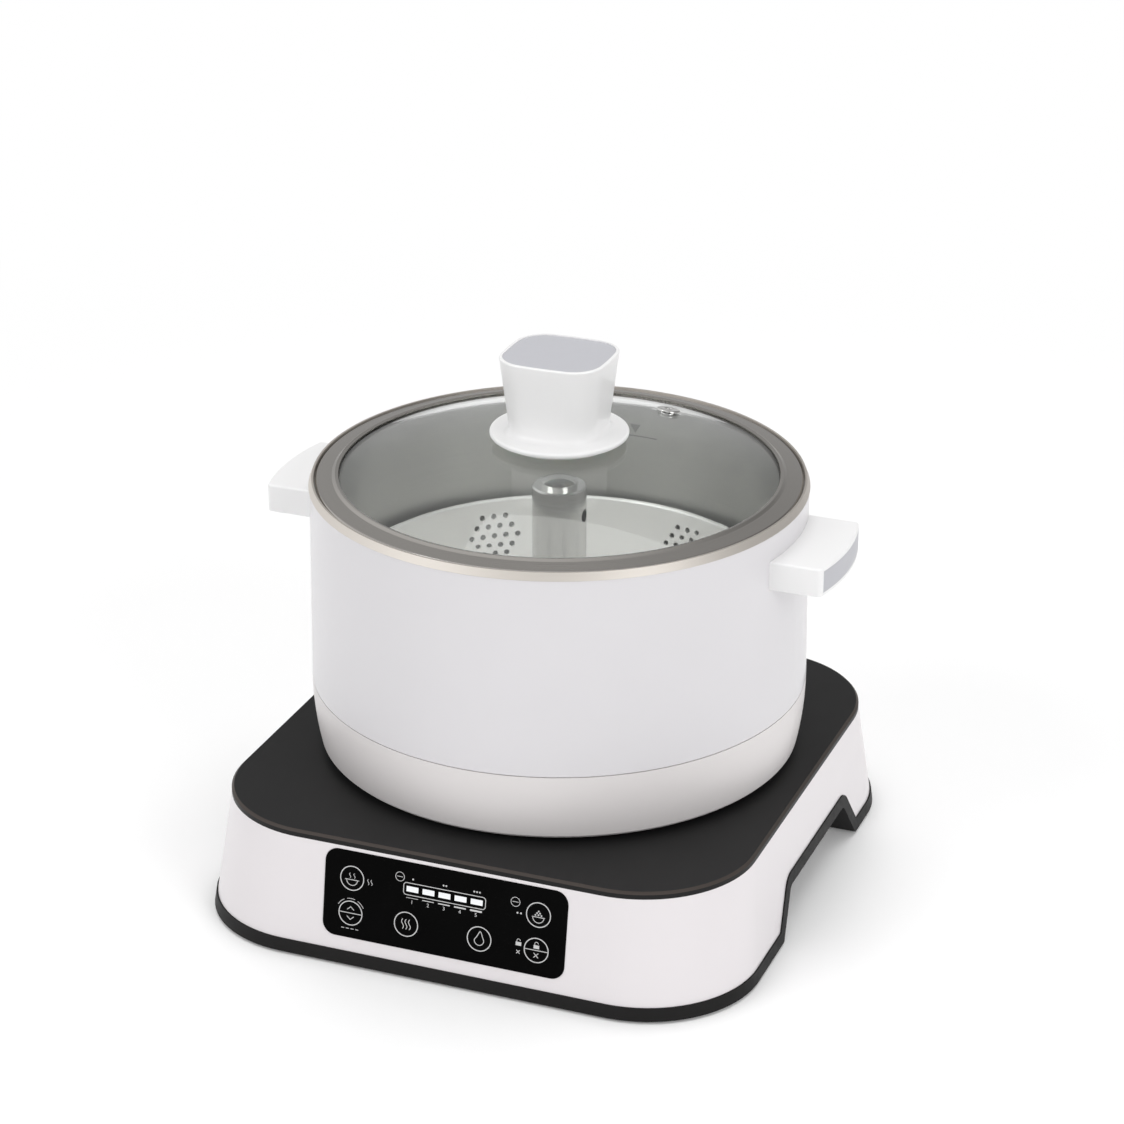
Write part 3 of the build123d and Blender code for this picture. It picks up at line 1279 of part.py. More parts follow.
RING_TOP = RING_Z + RING_H
RING_LIP_Z = dome_height(RING_LIP_IN) + FIT
RING_SKIRT_Z = dome_height(GLASS_R, GLASS_T) - FIT
with BuildPart() as lid_ring:
    with BuildSketch(POT_SECTION):
        with BuildLine():
            Polyline(
                (RING_LIP_IN, RING_LIP_Z),
                (RING_LIP_IN, RING_LIP_Z + RING_LIP_T),
                ((RING_LIP_IN + RING_CREST_R) / 2, RING_LIP_Z + 1.5 * RING_LIP_T),
                (RING_CREST_R, RING_LIP_Z),
                (RING_R - RING_LIP_T, RING_TOP),
                (RING_R, RING_TOP - RING_LIP_T),
                (RING_R, RING_Z),
                (RING_CREST_R, RING_Z),
                (RING_SKIRT_R, RING_Z - RING_LIP_T),
                (RING_SKIRT_R, RING_SKIRT_Z - RING_LIP_T),
                (RING_FOOT_IN, RING_SKIRT_Z - RING_LIP_T),
                (RING_FOOT_IN, RING_SKIRT_Z),
                (GLASS_R + FIT, RING_SKIRT_Z),
                (GLASS_R + FIT, dome_height(GLASS_R) + FIT),
                close=True,
            )
        make_face()
    revolve(axis=POT_AXIS)
save(lid_ring, "lid_ring")

vent_side = Vector(-sin(vent_heading), cos(vent_heading), 0)
vent_section = Plane(vent_spot, Vector(vent_up).cross(vent_side), vent_side)
VENT_TOP = FIT + VENT_FLANGE_T
VENT_LOW = -GLASS_T - FIT
VENT_FOOT_R = (VENT_FLANGE_R + VENT_STEM_R) / 2
with BuildPart() as lid_vent:
    with BuildSketch(vent_section):
        with BuildLine():
            FilletPolyline(
                (VENT_BORE_R, VENT_TOP),
                (VENT_FLANGE_R, VENT_TOP),
                (VENT_FLANGE_R, FIT),
                (VENT_STEM_R, FIT),
                (VENT_STEM_R, VENT_LOW),
                (VENT_FOOT_R, VENT_LOW),
                (VENT_FOOT_R, VENT_LOW - VENT_FLANGE_T),
                (VENT_BORE_R, VENT_LOW - VENT_FLANGE_T),
                radius=[VENT_FLANGE_T / 2, 0.8 * VENT_FLANGE_T, 0, 0, 0, 0, 0, 0],
                close=True,
            )
        make_face()
    revolve(axis=Axis(vent_spot, vent_up))
save(lid_vent, "lid_vent")

# Knob: a flared grip on a round flange, hollow, with a grey plate in its top
with BuildPart() as glass_outside:
    with Locations((0, POT_Y, DOME_CENTRE)):
        Sphere(DOME_R + RUN)

with BuildPart() as knob_washer:
    with BuildSketch(pot_plane(KNOB_Z)):
        Circle(WASHER_R)
        Circle(KNOB_SCREW_R + FIT, mode=Mode.SUBTRACT)
    extrude(amount=-2 * WASHER_T)
    add(glass_outside.part, mode=Mode.SUBTRACT)
    with BuildSketch(pot_plane(KNOB_Z)):
        Circle(STEM_HOLE_R - FIT)
        Circle(KNOB_SCREW_R + FIT, mode=Mode.SUBTRACT)
    extrude(amount=-WASHER_T - GLASS_T + FIT)
save(knob_washer, "knob_washer")


def grip_width(z):
    return KNOB_FOOT_W + (KNOB_TOP_W - KNOB_FOOT_W) * (z - GRIP_Z) / KNOB_H


def grip_depth(z):
    return KNOB_FOOT_D + (KNOB_TOP_D - KNOB_FOOT_D) * (z - GRIP_Z) / KNOB_H


def grip_corner(z):
    return KNOB_FOOT_CORNER + (KNOB_TOP_CORNER - KNOB_FOOT_CORNER) * (z - GRIP_Z) / KNOB_H


def grip_outline(z, inset):
    """Rounded square with bowed sides, drawn in by inset."""
    across = grip_width(z) / 2 - inset
    along = grip_depth(z) / 2 - inset
    corners = [(x * (across - KNOB_BOW), y * (along - KNOB_BOW)) for x, y in ((1, -1), (1, 1), (-1, 1), (-1, -1))]
    middles = [(across, 0), (0, along), (-across, 0), (0, -along)]
    with BuildSketch() as outline:
        with BuildLine():
            for start, middle, end in zip(corners, middles, corners[1:] + corners[:1]):
                ThreePointArc(start, middle, end)
        make_face()
        fillet(outline.vertices(), grip_corner(z) - inset)
    return outline.sketch


INSERT_TOP = KNOB_TOP_Z - KNOB_INSERT_DOWN
INSERT_Z = INSERT_TOP - KNOB_INSERT_T
with BuildPart() as grip_hollow:
    for z in (GRIP_Z + KNOB_WALL, KNOB_TOP_Z):
        with BuildSketch(pot_plane(z)):
            add(grip_outline(z, KNOB_WALL))
    loft(ruled=True)
    with BuildSketch(pot_plane(GRIP_Z)):
        Circle(KNOB_BOSS_R)
    extrude(amount=KNOB_BOSS_H, mode=Mode.SUBTRACT)

with BuildPart() as knob:
    for z in (GRIP_Z, KNOB_TOP_Z):
        with BuildSketch(pot_plane(z)):
            add(grip_outline(z, 0))
    loft(ruled=True)
    fillet(knob.faces().sort_by(Axis.Z)[-1].edges(), KNOB_RIM / 2)
    with BuildSketch(pot_plane(KNOB_Z)):
        Circle(KNOB_FLANGE_R)
    extrude(amount=KNOB_FLANGE_T)
    grip_root = knob.edges().filter_by_position(Axis.Z, GRIP_Z - FIT, GRIP_Z + FIT).sort_by(SortBy.LENGTH)[:-1]
    fillet(grip_root, KNOB_ROOT)
    fillet(knob.edges().filter_by(GeomType.CIRCLE).sort_by(SortBy.RADIUS)[-2:], KNOB_EDGE)
    add(grip_hollow.part, mode=Mode.SUBTRACT)
    with BuildSketch(pot_plane(INSERT_Z)):
        add(grip_outline(INSERT_Z, KNOB_RIM))
    extrude(amount=KNOB_TOP_Z - INSERT_Z, mode=Mode.SUBTRACT)
    with BuildSketch(pot_plane(KNOB_Z)):
        Circle(KNOB_SCREW_R + RUN)
    extrude(amount=KNOB_FLANGE_T + KNOB_BOSS_H - KNOB_WALL, mode=Mode.SUBTRACT)
save(knob, "knob")

with BuildPart() as knob_top:
    with BuildSketch(pot_plane(INSERT_Z)):
        add(grip_outline(INSERT_Z, KNOB_RIM + RUN))
    extrude(amount=KNOB_INSERT_T)
save(knob_top, "knob_top")

SCREW_WASHER_Z = dome_height(SCREW_WASHER_R, GLASS_T) - RUN
with BuildPart() as screw_washer:
    with BuildSketch(pot_plane(SCREW_WASHER_Z)):
        Circle(SCREW_WASHER_R)
        Circle(KNOB_SCREW_R + FIT, mode=Mode.SUBTRACT)
    extrude(amount=-SCREW_WASHER_T)
save(screw_washer, "screw_washer")

KNOB_SCREW_Z = SCREW_WASHER_Z - SCREW_WASHER_T
with BuildPart() as knob_screw:
    with BuildSketch(pot_plane(KNOB_SCREW_Z)):
        Circle(KNOB_SCREW_HEAD_R)
    extrude(amount=-KNOB_SCREW_HEAD_H)
    with BuildSketch(pot_plane(KNOB_SCREW_Z)):
        Circle(KNOB_SCREW_R)
    extrude(amount=KNOB_SCREW_LENGTH)
save(knob_screw, "knob_screw")
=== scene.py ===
import json
import math

import bmesh
import bpy
from mathutils import Matrix, Vector


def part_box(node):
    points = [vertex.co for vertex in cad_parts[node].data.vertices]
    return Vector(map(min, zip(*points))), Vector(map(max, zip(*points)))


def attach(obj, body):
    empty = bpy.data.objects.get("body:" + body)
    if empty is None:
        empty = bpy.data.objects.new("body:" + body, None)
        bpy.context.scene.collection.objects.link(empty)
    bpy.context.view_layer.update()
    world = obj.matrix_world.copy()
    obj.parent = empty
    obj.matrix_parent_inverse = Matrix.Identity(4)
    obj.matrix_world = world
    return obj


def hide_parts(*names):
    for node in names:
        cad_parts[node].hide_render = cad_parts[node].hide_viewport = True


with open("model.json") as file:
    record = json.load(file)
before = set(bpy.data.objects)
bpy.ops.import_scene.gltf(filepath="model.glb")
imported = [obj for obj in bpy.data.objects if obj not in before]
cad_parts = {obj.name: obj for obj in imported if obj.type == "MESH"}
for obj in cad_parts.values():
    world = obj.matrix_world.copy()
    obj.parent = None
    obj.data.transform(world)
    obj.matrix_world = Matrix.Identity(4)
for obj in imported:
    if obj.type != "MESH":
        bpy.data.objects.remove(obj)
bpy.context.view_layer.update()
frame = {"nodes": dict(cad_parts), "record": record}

MM = 0.001
NODES = frame["nodes"]

# Camera, in the pixels of the photograph's square frame
FRAME_SIDE = 1124.0
FOCAL = 3259.8
AXIS_PIXEL = (559.4, 638.0)
SENSOR = 36.0
VIEW_AZIMUTH = math.radians(21.42)
VIEW_ELEVATION = math.radians(25.21)
VIEW_DISTANCE = 1735.8 * MM
VIEW_HEIGHT = 121.5 * MM

# Stage
FLOOR_R = 6.0
FLOOR_SIDES = 96
FLOOR_WHITE = 0.90
FLOOR_LIFT = 0.10       # glow that keeps the near floor white
FADE_START = 0.35       # where the floor starts to turn pure white, from the pot's axis
FADE_END = 1.1
SKY_LOW = 1.0
SKY_HIGH = 0.80
SKY_RISE = (0.15, 0.85)  # upward parts of a direction between which the sky fades
SKY_SIDES = (           # axis, where the grey starts and ends along it, and how dark it gets
    ("X", -0.2, 0.8, 0.40),
    ("Y", 0.2, 0.9, 0.45),
)
AMBIENT = 0.54
LAMPS = (               # name, place, height aimed at, width, height, power, seen in metal
    ("key", (-1.6, -1.9, 1.9), 0.12, 1.6, 1.6, 21.0, True),
    ("fill", (2.0, -1.2, 1.1), 0.12, 1.2, 1.6, 18.0, True),
    ("top", (0.0, 0.5, 2.4), 0.10, 2.0, 2.0, 24.0, False),
)

# Finishes
NOISE_LOW = 0.25        # noise mostly stays between these two
NOISE_HIGH = 0.75
LINE_RISE = 0.7         # share of the height in the spacing of brushed lines
BEVEL_UP = 0.7          # upward part of the normal on the plate's bevel
BEVEL_SPREAD = 0.2
RIM_BAND = 3.1 * MM     # how far the pot's paler rim reaches in from its edge
STREAKS = 0.6           # how much the brushed inside of the pot stretches a lamp's reflection

# Print on the touch panel, from the panel's middle
PRINT_T = 0.05 * MM
KEY_R = 6.4 * MM
KEY_LINE = 0.5 * MM
ICON_LINE = 0.38 * MM
FINE_LINE = 0.28 * MM
KEY_SIDE = 50.8 * MM    # outer keys
KEY_INNER = 20.0 * MM   # inner keys
KEY_UPPER = 8.9 * MM
KEY_LOWER = -9.9 * MM
NOTE_OUT = 9.6 * MM     # small lock and cross from their key
LIGHTS = 5
LIGHT_W = 6.6 * MM
FRAME_ROOM = 3.2 * MM   # frame's width beyond the row of lights
FRAME_H = 6.4 * MM
FRAME_CORNER = 1.6 * MM
BAR_W = 6.4 * MM
BAR_DOWN = 4.7 * MM     # bars below the lights
BAR_T = 0.25 * MM       # first bar's thickness
BAR_GROWTH = 0.17 * MM  # from bar to bar
FIGURE_H = 1.9 * MM
FIGURE_DOWN = 6.9 * MM  # numbers below the lights
CAPITAL = 0.69          # numeral's height as a share of the font's size
GRADE_UP = 5.4 * MM     # dots above the lights
GRADE_PITCH = 1.5 * MM
GRADE_R = 0.48 * MM
ARC_STEP = 7.5          # degrees
ARC_STEPS = 12          # at least
DOT_SIDES = 14
SQUARE = ((-1, -1), (1, -1), (1, 1), (-1, 1))

# Filling line etched inside the pot
MARK_Z = 199.0 * MM
MARK_W = 0.7 * MM
MARK_PROUD = 0.03 * MM
MARK_START = math.radians(80.5)
MARK_STOP = math.radians(95.0)
MARK_STEPS = 24
POINTER_HALF = 3.2 * MM
POINTER_TIP = 1.6 * MM  # above the line
POINTER_TOP = 6.6 * MM  # above the line
WALL_BEYOND = 100.0 * MM  # the pot's wall is the nearest ring of points outside this radius

# Threads and screw recesses
THREAD_PITCH = 5.0 * MM
THREAD_STARTS = 3
THREAD_DEPTH = 0.7 * MM
THREAD_STEP = 0.45 * MM
THREAD_SIDES = 40
FLANK_END = 0.62        # in half pitches
FLANK_W = 0.24
PLAIN_TOP = 4.0 * MM    # uncut end of the lift screw
PLAIN_FOOT = 1.0 * MM   # uncut above the seal
HEAD_PROFILE = (        # shares of a head's height and radius
    (0.0, 0.72),
    (0.12, 0.90),
    (0.35, 1.0),
    (1.0, 1.0),
)
SCREW_PITCH = 1.3 * MM
SCREW_DEPTH = 0.35 * MM
SCREW_SIDES = 36
TIP_SHARE = 0.3         # thinnest part of a screw's tip
RECESS_W = 0.9 * MM
RECESS_DEPTH = 1.2 * MM
RECESS_OVER = 0.2 * MM  # how far the cutter stands out of the head
RECESS_REACH = 0.62     # share of the head's radius
RECESS_FLOOR = 0.45     # share of the recess's rim
TRAY_SCREW = (3.6 * MM, 2.2 * MM, 1.7 * MM)  # head radius, head height, shank radius
KNOB_SCREW = (5.5 * MM, 3.0 * MM, 2.4 * MM)


def middle(node):
    """Centre of a node's box."""
    low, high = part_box(node)
    return (low + high) / 2


POT_AXIS = Vector((middle("lid_ring").x, middle("lid_ring").y, 0))


# Node graphs

class Graph:
    """A material's nodes, with short calls for what the finishes share."""

    def __init__(self, name):
        self.material = bpy.data.materials.new(name)
        self.material.use_nodes = True
        self.tree = self.material.node_tree
        self.shader = self.tree.nodes["Principled BSDF"]
        self.place = self.add("ShaderNodeTexCoord").outputs["Object"]

    def add(self, kind, **settings):
        node = self.tree.nodes.new(kind)
        for name, value in settings.items():
            setattr(node, name, value)
        return node

    def link(self, source, target):
        self.tree.links.new(source, target)

    def set(self, **values):
        """Constants on the shader's own sockets."""
        for name, value in values.items():
            socket = self.shader.inputs[name.replace("_", " ")]
            socket.default_value = (*value, 1.0) if isinstance(value, tuple) else value

    def math(self, operation, a, b=None):
        node = self.add("ShaderNodeMath", operation=operation)
        for socket, value in zip(node.inputs, (a, b)):
            if value is None:
                continue
            if isinstance(value, (int, float)):
                socket.default_value = value
            else:
                self.link(value, socket)
        return node.outputs[0]

    def vector(self, operation, a, b=None):
        node = self.add("ShaderNodeVectorMath", operation=operation)
        self.link(a, node.inputs[0])
        if isinstance(b, (tuple, Vector)):
            node.inputs[1].default_value = b
        elif isinstance(b, float):
            node.inputs["Scale"].default_value = b
        elif b is not None:
            self.link(b, node.inputs[1])
        return node.outputs["Value" if operation == "LENGTH" else "Vector"]

    def noise(self, scale, detail=2.0, place=None):
        """Noise whose cells are about 1 / scale metres wide."""
        node = self.add("ShaderNodeTexNoise")
        node.inputs["Scale"].default_value = scale
        node.inputs["Detail"].default_value = detail
        self.link(place or self.place, node.inputs["Vector"])
        return node.outputs[0]

    def span(self, value, low, high):
        """Noise spread between low and high."""
        node = self.add("ShaderNodeMapRange")
        node.inputs["From Min"].default_value = NOISE_LOW
        node.inputs["From Max"].default_value = NOISE_HIGH
        node.inputs["To Min"].default_value = low
        node.inputs["To Max"].default_value = high
        self.link(value, node.inputs["Value"])
        return node.outputs["Result"]

    def between(self, factor, first, second):
        """A colour between two others."""
        node = self.add("ShaderNodeMix", data_type="RGBA")
        self.link(factor, node.inputs["Factor"])
        for socket, colour in ((node.inputs[6], first), (node.inputs[7], second)):
            if isinstance(colour, tuple):
                socket.default_value = (*colour, 1.0)
            else:
                self.link(colour, socket)
        return node.outputs[2]

    def source(self, name):
        """What is linked to one of the shader's sockets."""
        return self.shader.inputs[name].links[0].from_socket

    def colour(self, socket):
        self.link(socket, self.shader.inputs["Base Color"])

    def roughness(self, socket):
        self.link(socket, self.shader.inputs["Roughness"])

    def bump(self, height, depth):
        """Relief of the given depth in metres."""
        node = self.add("ShaderNodeBump")
        node.inputs["Distance"].default_value = depth
        self.link(height, node.inputs["Height"])
        self.link(node.outputs["Normal"], self.shader.inputs["Normal"])

    def outward(self):
        """The level line out from the pot's axis."""
        return self.vector("MULTIPLY", self.vector("SUBTRACT", self.place, POT_AXIS), (1, 1, 0))

    def turned(self, spread, fine):
        """Coordinates stretched round the pot's axis, as a lathe or a brush leaves them."""
        flat = self.outward()
        heading = self.vector("SCALE", self.vector("NORMALIZE", flat), spread)
        parts = self.add("ShaderNodeSeparateXYZ")
        self.link(self.place, parts.inputs[0])
        rise = self.math("MULTIPLY", parts.outputs["Z"], LINE_RISE)
        along = self.math("MULTIPLY", self.math("ADD", self.vector("LENGTH", flat), rise), fine)
        lift = self.add("ShaderNodeCombineXYZ")
        self.link(along, lift.inputs["Z"])
        return self.vector("ADD", heading, lift.outputs[0])


def shade(colour, share):
    return tuple(min(1.0, c * share) for c in colour)


# Finishes

def moulded(name, colour, roughness, grain=600.0, relief=0.003, spread=0.015):
    """Injection-moulded plastic: a fine skin, faint cloudiness and uneven polish."""
    g = Graph(name)
    cloud = g.noise(22.0, 3.0)
    g.colour(g.between(cloud, shade(colour, 1 - spread), shade(colour, 1 + spread)))
    g.roughness(g.span(g.noise(240.0, 4.0), roughness - 0.04, roughness + 0.04))
    g.bump(g.noise(grain, 3.0), relief * MM)
    return g


def polished(name, colour, roughness):
    """Polished moulding: long, faint waves under a hard gloss."""
    g = Graph(name)
    g.colour(g.between(g.noise(22.0, 2.0), shade(colour, 0.99), shade(colour, 1.01)))
    g.roughness(g.span(g.noise(35.0, 2.0), roughness - 0.03, roughness + 0.03))
    g.bump(g.noise(14.0, 0.0), 0.03 * MM)
    g.set(Coat_Weight=0.3, Coat_Roughness=0.08)
    return g


def lacquered(name, colour, roughness, coat):
    """Sprayed and lacquered sheet: orange peel under a clear coat."""
    g = moulded(name, colour, roughness, grain=420.0, relief=0.006, spread=0.012)
    g.set(Coat_Weight=coat, Coat_Roughness=0.12)
    return g


def brushed(name, colour, roughness, spread, fine, streak=0.05, relief=0.002):
    """Metal with fine lines running round the pot's axis."""
    g = Graph(name)
    lines = g.noise(1.0, 1.5, g.turned(spread, fine))
    patch = g.noise(30.0, 2.0)
    g.colour(g.between(lines, shade(colour, 1 - streak), shade(colour, 1 + streak)))
    uneven = g.math("ADD", g.math("MULTIPLY", lines, 0.7), g.math("MULTIPLY", patch, 0.3))
    g.roughness(g.span(uneven, roughness - 0.06, roughness + 0.06))
    g.bump(lines, relief * MM)
    g.set(Metallic=1.0)
    return g


def drawn_steel():
    """The pot's brushed inside, where lamps show as tall streaks, and its paler, duller rim."""
    g = brushed("pot_steel", (0.46, 0.46, 0.44), 0.38, 0.9, 2200.0, streak=0.06)
    round_axis = g.add("ShaderNodeTangent", direction_type="RADIAL", axis="Z")
    g.link(round_axis.outputs[0], g.shader.inputs["Tangent"])
    g.set(Anisotropic_Rotation=0.25)
    low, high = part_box("inner_pot")
    rim_r = (high.x - low.x) / 2 - RIM_BAND
    rim = g.math("GREATER_THAN", g.vector("LENGTH", g.outward()), rim_r)
    g.colour(g.between(rim, g.source("Base Color"), (0.66, 0.622, 0.578)))
    g.roughness(g.math("MAXIMUM", g.source("Roughness"), g.math("MULTIPLY", rim, 0.55)))
    lost = g.math("MULTIPLY", rim, STREAKS)
    g.link(g.math("SUBTRACT", STREAKS, lost), g.shader.inputs["Anisotropic"])
    return g


def satin_steel():
    """Blasted stainless sheet, bright and dull."""
    g = brushed("basket_steel", (0.95, 0.94, 0.925), 0.45, 0.9, 2000.0, streak=0.03)
    g.set(Metallic=0.55)
    return g


def plain_metal(name, colour, roughness, grain=900.0):
    """Metal as drawn or turned, with a fine grain."""
    g = Graph(name)
    g.colour(g.between(g.noise(60.0, 3.0), shade(colour, 0.93), shade(colour, 1.05)))
    g.roughness(g.span(g.noise(grain, 3.0), roughness - 0.08, roughness + 0.08))
    g.bump(g.noise(grain, 2.0), 0.004 * MM)
    g.set(Metallic=1.0)
    return g


def black_plate():
    """Satin black glass with a fine etch, and a painted highlight: a paler brown-grey colour on the
    bevel faces.
    """
    g = Graph("plate_black")
    etched = g.between(g.noise(2600.0, 2.0), (0.014, 0.014, 0.0145), (0.019, 0.0185, 0.0185))
    parts = g.add("ShaderNodeSeparateXYZ")
    g.link(g.add("ShaderNodeNewGeometry").outputs["True Normal"], parts.inputs[0])
    bevel_highlight = g.math("COMPARE", g.math("ABSOLUTE", parts.outputs["Z"]), BEVEL_UP)
    bevel_highlight.node.inputs[2].default_value = BEVEL_SPREAD
    # painted highlight: faces on the bevel are coloured paler in place of the light they would
    # catch
    g.colour(g.between(bevel_highlight, etched, (0.060, 0.050, 0.045)))
    g.roughness(g.span(g.noise(30.0, 2.0), 0.40, 0.43))
    g.bump(g.noise(2600.0, 1.0), 0.002 * MM)
    g.set(Specular_IOR_Level=0.12)
    return g


def black_panel():
    """Gloss black sheet over the touch keys, with a few faint wipe marks."""
    g = Graph("panel_black")
    g.colour(g.between(g.noise(40.0, 2.0), (0.0012, 0.0012, 0.0012), (0.003, 0.003, 0.003)))
    g.roughness(g.span(g.noise(70.0, 4.0), 0.06, 0.12))
    g.set(Specular_IOR_Level=0.02)
    return g


def light_guide():
    """Frosted light bars, lit from behind."""
    g = Graph("light_white")
    g.colour(g.between(g.noise(900.0, 2.0), (0.62, 0.635, 0.65), (0.70, 0.71, 0.72)))
    g.roughness(g.span(g.noise(600.0, 2.0), 0.3, 0.4))
    g.set(Emission_Color=(0.95, 0.97, 1.0), Emission_Strength=0.3)
    return g


def clear_glass():
    """Tempered glass with a grey-green body; lamps shine through it."""
    g = Graph("lid_glass")
    g.roughness(g.span(g.noise(35.0, 3.0), 0.0, 0.03))
    g.colour(g.between(g.noise(25.0, 2.0), (0.945, 0.965, 0.955), (0.96, 0.975, 0.965)))
    g.set(Transmission_Weight=1.0, IOR=1.46)
    path = g.add("ShaderNodeLightPath")
    pass_through = g.add("ShaderNodeBsdfTransparent")
    pass_through.inputs["Color"].default_value = (0.97, 0.98, 0.975, 1.0)
    mix = g.add("ShaderNodeMixShader")
    g.link(path.outputs["Is Shadow Ray"], mix.inputs["Fac"])
    g.link(g.shader.outputs[0], mix.inputs[1])
    g.link(pass_through.outputs[0], mix.inputs[2])
    g.link(mix.outputs[0], g.tree.nodes["Material Output"].inputs["Surface"])
    return g


def tray_plastic():
    """Matt black moulding with a spark-eroded skin."""
    g = moulded("tray_black", (0.010, 0.0095, 0.0095), 0.52, grain=900.0, relief=0.012, spread=0.12)
    g.set(Specular_IOR_Level=0.16)
    return g


def silicone():
    """Milky silicone with a soft skin."""
    g = moulded("silicone", (0.70, 0.70, 0.69), 0.5, grain=700.0, relief=0.02)
    g.set(Subsurface_Weight=0.3, Subsurface_Scale=0.002)
    return g


def rubber():
    """Black rubber with a dusty bloom."""
    g = moulded("rubber", (0.030, 0.030, 0.031), 0.75, grain=1100.0, relief=0.04, spread=0.25)
    g.set(Sheen_Weight=0.15)
    return g


def circuit_board():
    """Green laminate with copper tracks under the mask."""
    g = Graph("board")
    tracks = g.add("ShaderNodeTexBrick", offset=0.5)
    tracks.inputs["Scale"].default_value = 90.0
    tracks.inputs["Mortar Size"].default_value = 0.03
    g.link(g.place, tracks.inputs["Vector"])
    green = g.between(g.noise(120.0, 2.0), (0.02, 0.13, 0.06), (0.03, 0.17, 0.08))
    g.colour(g.between(tracks.outputs["Fac"], green, (0.05, 0.24, 0.10)))
    g.roughness(g.span(g.noise(300.0, 2.0), 0.3, 0.45))
    g.bump(tracks.outputs["Fac"], 0.03 * MM)
    return g


def copper_wire():
    """Lacquered copper with the fine lines of its strands."""
    g = brushed("copper", (0.60, 0.25, 0.12), 0.38, 2.0, 2400.0, streak=0.35, relief=0.02)
    g.set(Coat_Weight=0.3, Coat_Roughness=0.2)
    return g


def ferrite():
    """Sintered ferrite: dull, dark and granular."""
    return moulded("ferrite", (0.035, 0.035, 0.038), 0.62, grain=1800.0, relief=0.03, spread=0.2)


FINISHES = {
    "base_white": polished("base_white", (0.80, 0.765, 0.78), 0.32),
    "pot_white": lacquered("pot_white", (0.73, 0.715, 0.735), 0.34, 0.35),
    "band_white": moulded("band_white", (0.78, 0.75, 0.745), 0.40),
    "trim_white": polished("trim_white", (0.90, 0.897, 0.897), 0.34),
    "trim_grey": moulded("trim_grey", (0.51, 0.512, 0.545), 0.42, grain=1500.0, relief=0.006),
    "tray_black": tray_plastic(),
    "plate_black": black_plate(),
    "panel_black": black_panel(),
    "light_white": light_guide(),
    "pot_steel": drawn_steel(),
    "basket_steel": satin_steel(),
    "ring_steel": brushed("ring_steel", (0.455, 0.435, 0.41), 0.19, 0.9, 2600.0),
    "column_steel": brushed("column_steel", (0.66, 0.655, 0.64), 0.16, 0.9, 2200.0),
    "lid_glass": clear_glass(),
    "rubber": rubber(),
    "silicone": silicone(),
    "inner_plastic": moulded("inner_plastic", (0.05, 0.05, 0.053), 0.5, relief=0.03, spread=0.1),
    "gear_plastic": moulded("gear_plastic", (0.74, 0.71, 0.62), 0.38, spread=0.04),
    "board": circuit_board(),
    "copper": copper_wire(),
    "ferrite": ferrite(),
    "aluminium": plain_metal("aluminium", (0.68, 0.68, 0.70), 0.40),
    "bronze": plain_metal("bronze", (0.52, 0.33, 0.15), 0.45, grain=1500.0),
    "steel": plain_metal("steel", (0.52, 0.52, 0.53), 0.38),
}

for part in frame["record"]["subparts"]:
    node = NODES[part["node"]]
    node.data.materials.clear()
    node.data.materials.append(FINISHES[part["material_slot"]].material)


# New pieces

def as_object(name, shape):
    mesh = bpy.data.meshes.new(name)
    shape.to_mesh(mesh)
    shape.free()
    thing = bpy.data.objects.new(name, mesh)
    bpy.context.scene.collection.objects.link(thing)
    return thing


def piece(name, shape, body, slot, finish=None):
    """A finished mesh as an object that rides on a body."""
    bmesh.ops.recalc_face_normals(shape, faces=shape.faces)
    thing = as_object(name, shape)
    thing.data.materials.append((finish or FINISHES[slot]).material)
    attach(thing, body)
    return thing


def prism(shape, lower, upper):
    """A closed solid between two outlines with as many points each."""
    low = [shape.verts.new(p) for p in lower]
    high = [shape.verts.new(p) for p in upper]
    count = len(low)
    shape.faces.new(low[::-1])
    shape.faces.new(high)
    for i in range(count):
        j = (i + 1) % count
        shape.faces.new((low[i], low[j], high[j], high[i]))


def band(shape, left, right, closed, lift):
    """A ribbon solid between two lines of points; lift moves a point by its thickness."""
    rings = []
    for a, b in zip(left, right):
        rings.append([shape.verts.new(p) for p in (a, b, lift(b), lift(a))])
    count = len(rings)
    for i in range(count if closed else count - 1):
        here, after = rings[i], rings[(i + 1) % count]
        for k in range(4):
            m = (k + 1) % 4
            shape.faces.new((here[k], here[m], after[m], after[k]))
    if not closed:
        shape.faces.new(rings[0][::-1])
        shape.faces.new(rings[-1])


def front_plane(node):
    """Frame of a node's largest face that looks forward: across, up the slope, outwards."""
    mesh = NODES[node].data
    forward = [p for p in mesh.polygons if p.normal.y < -0.9]
    face = max(forward, key=lambda p: p.area)
    out = face.normal.normalized()
    across = Vector((1, 0, 0))
    up = out.cross(across).normalized()
    centre = middle(node)
    origin = centre + out * (face.center - centre).dot(out)
    return Matrix((across, up, out)).transposed(), origin


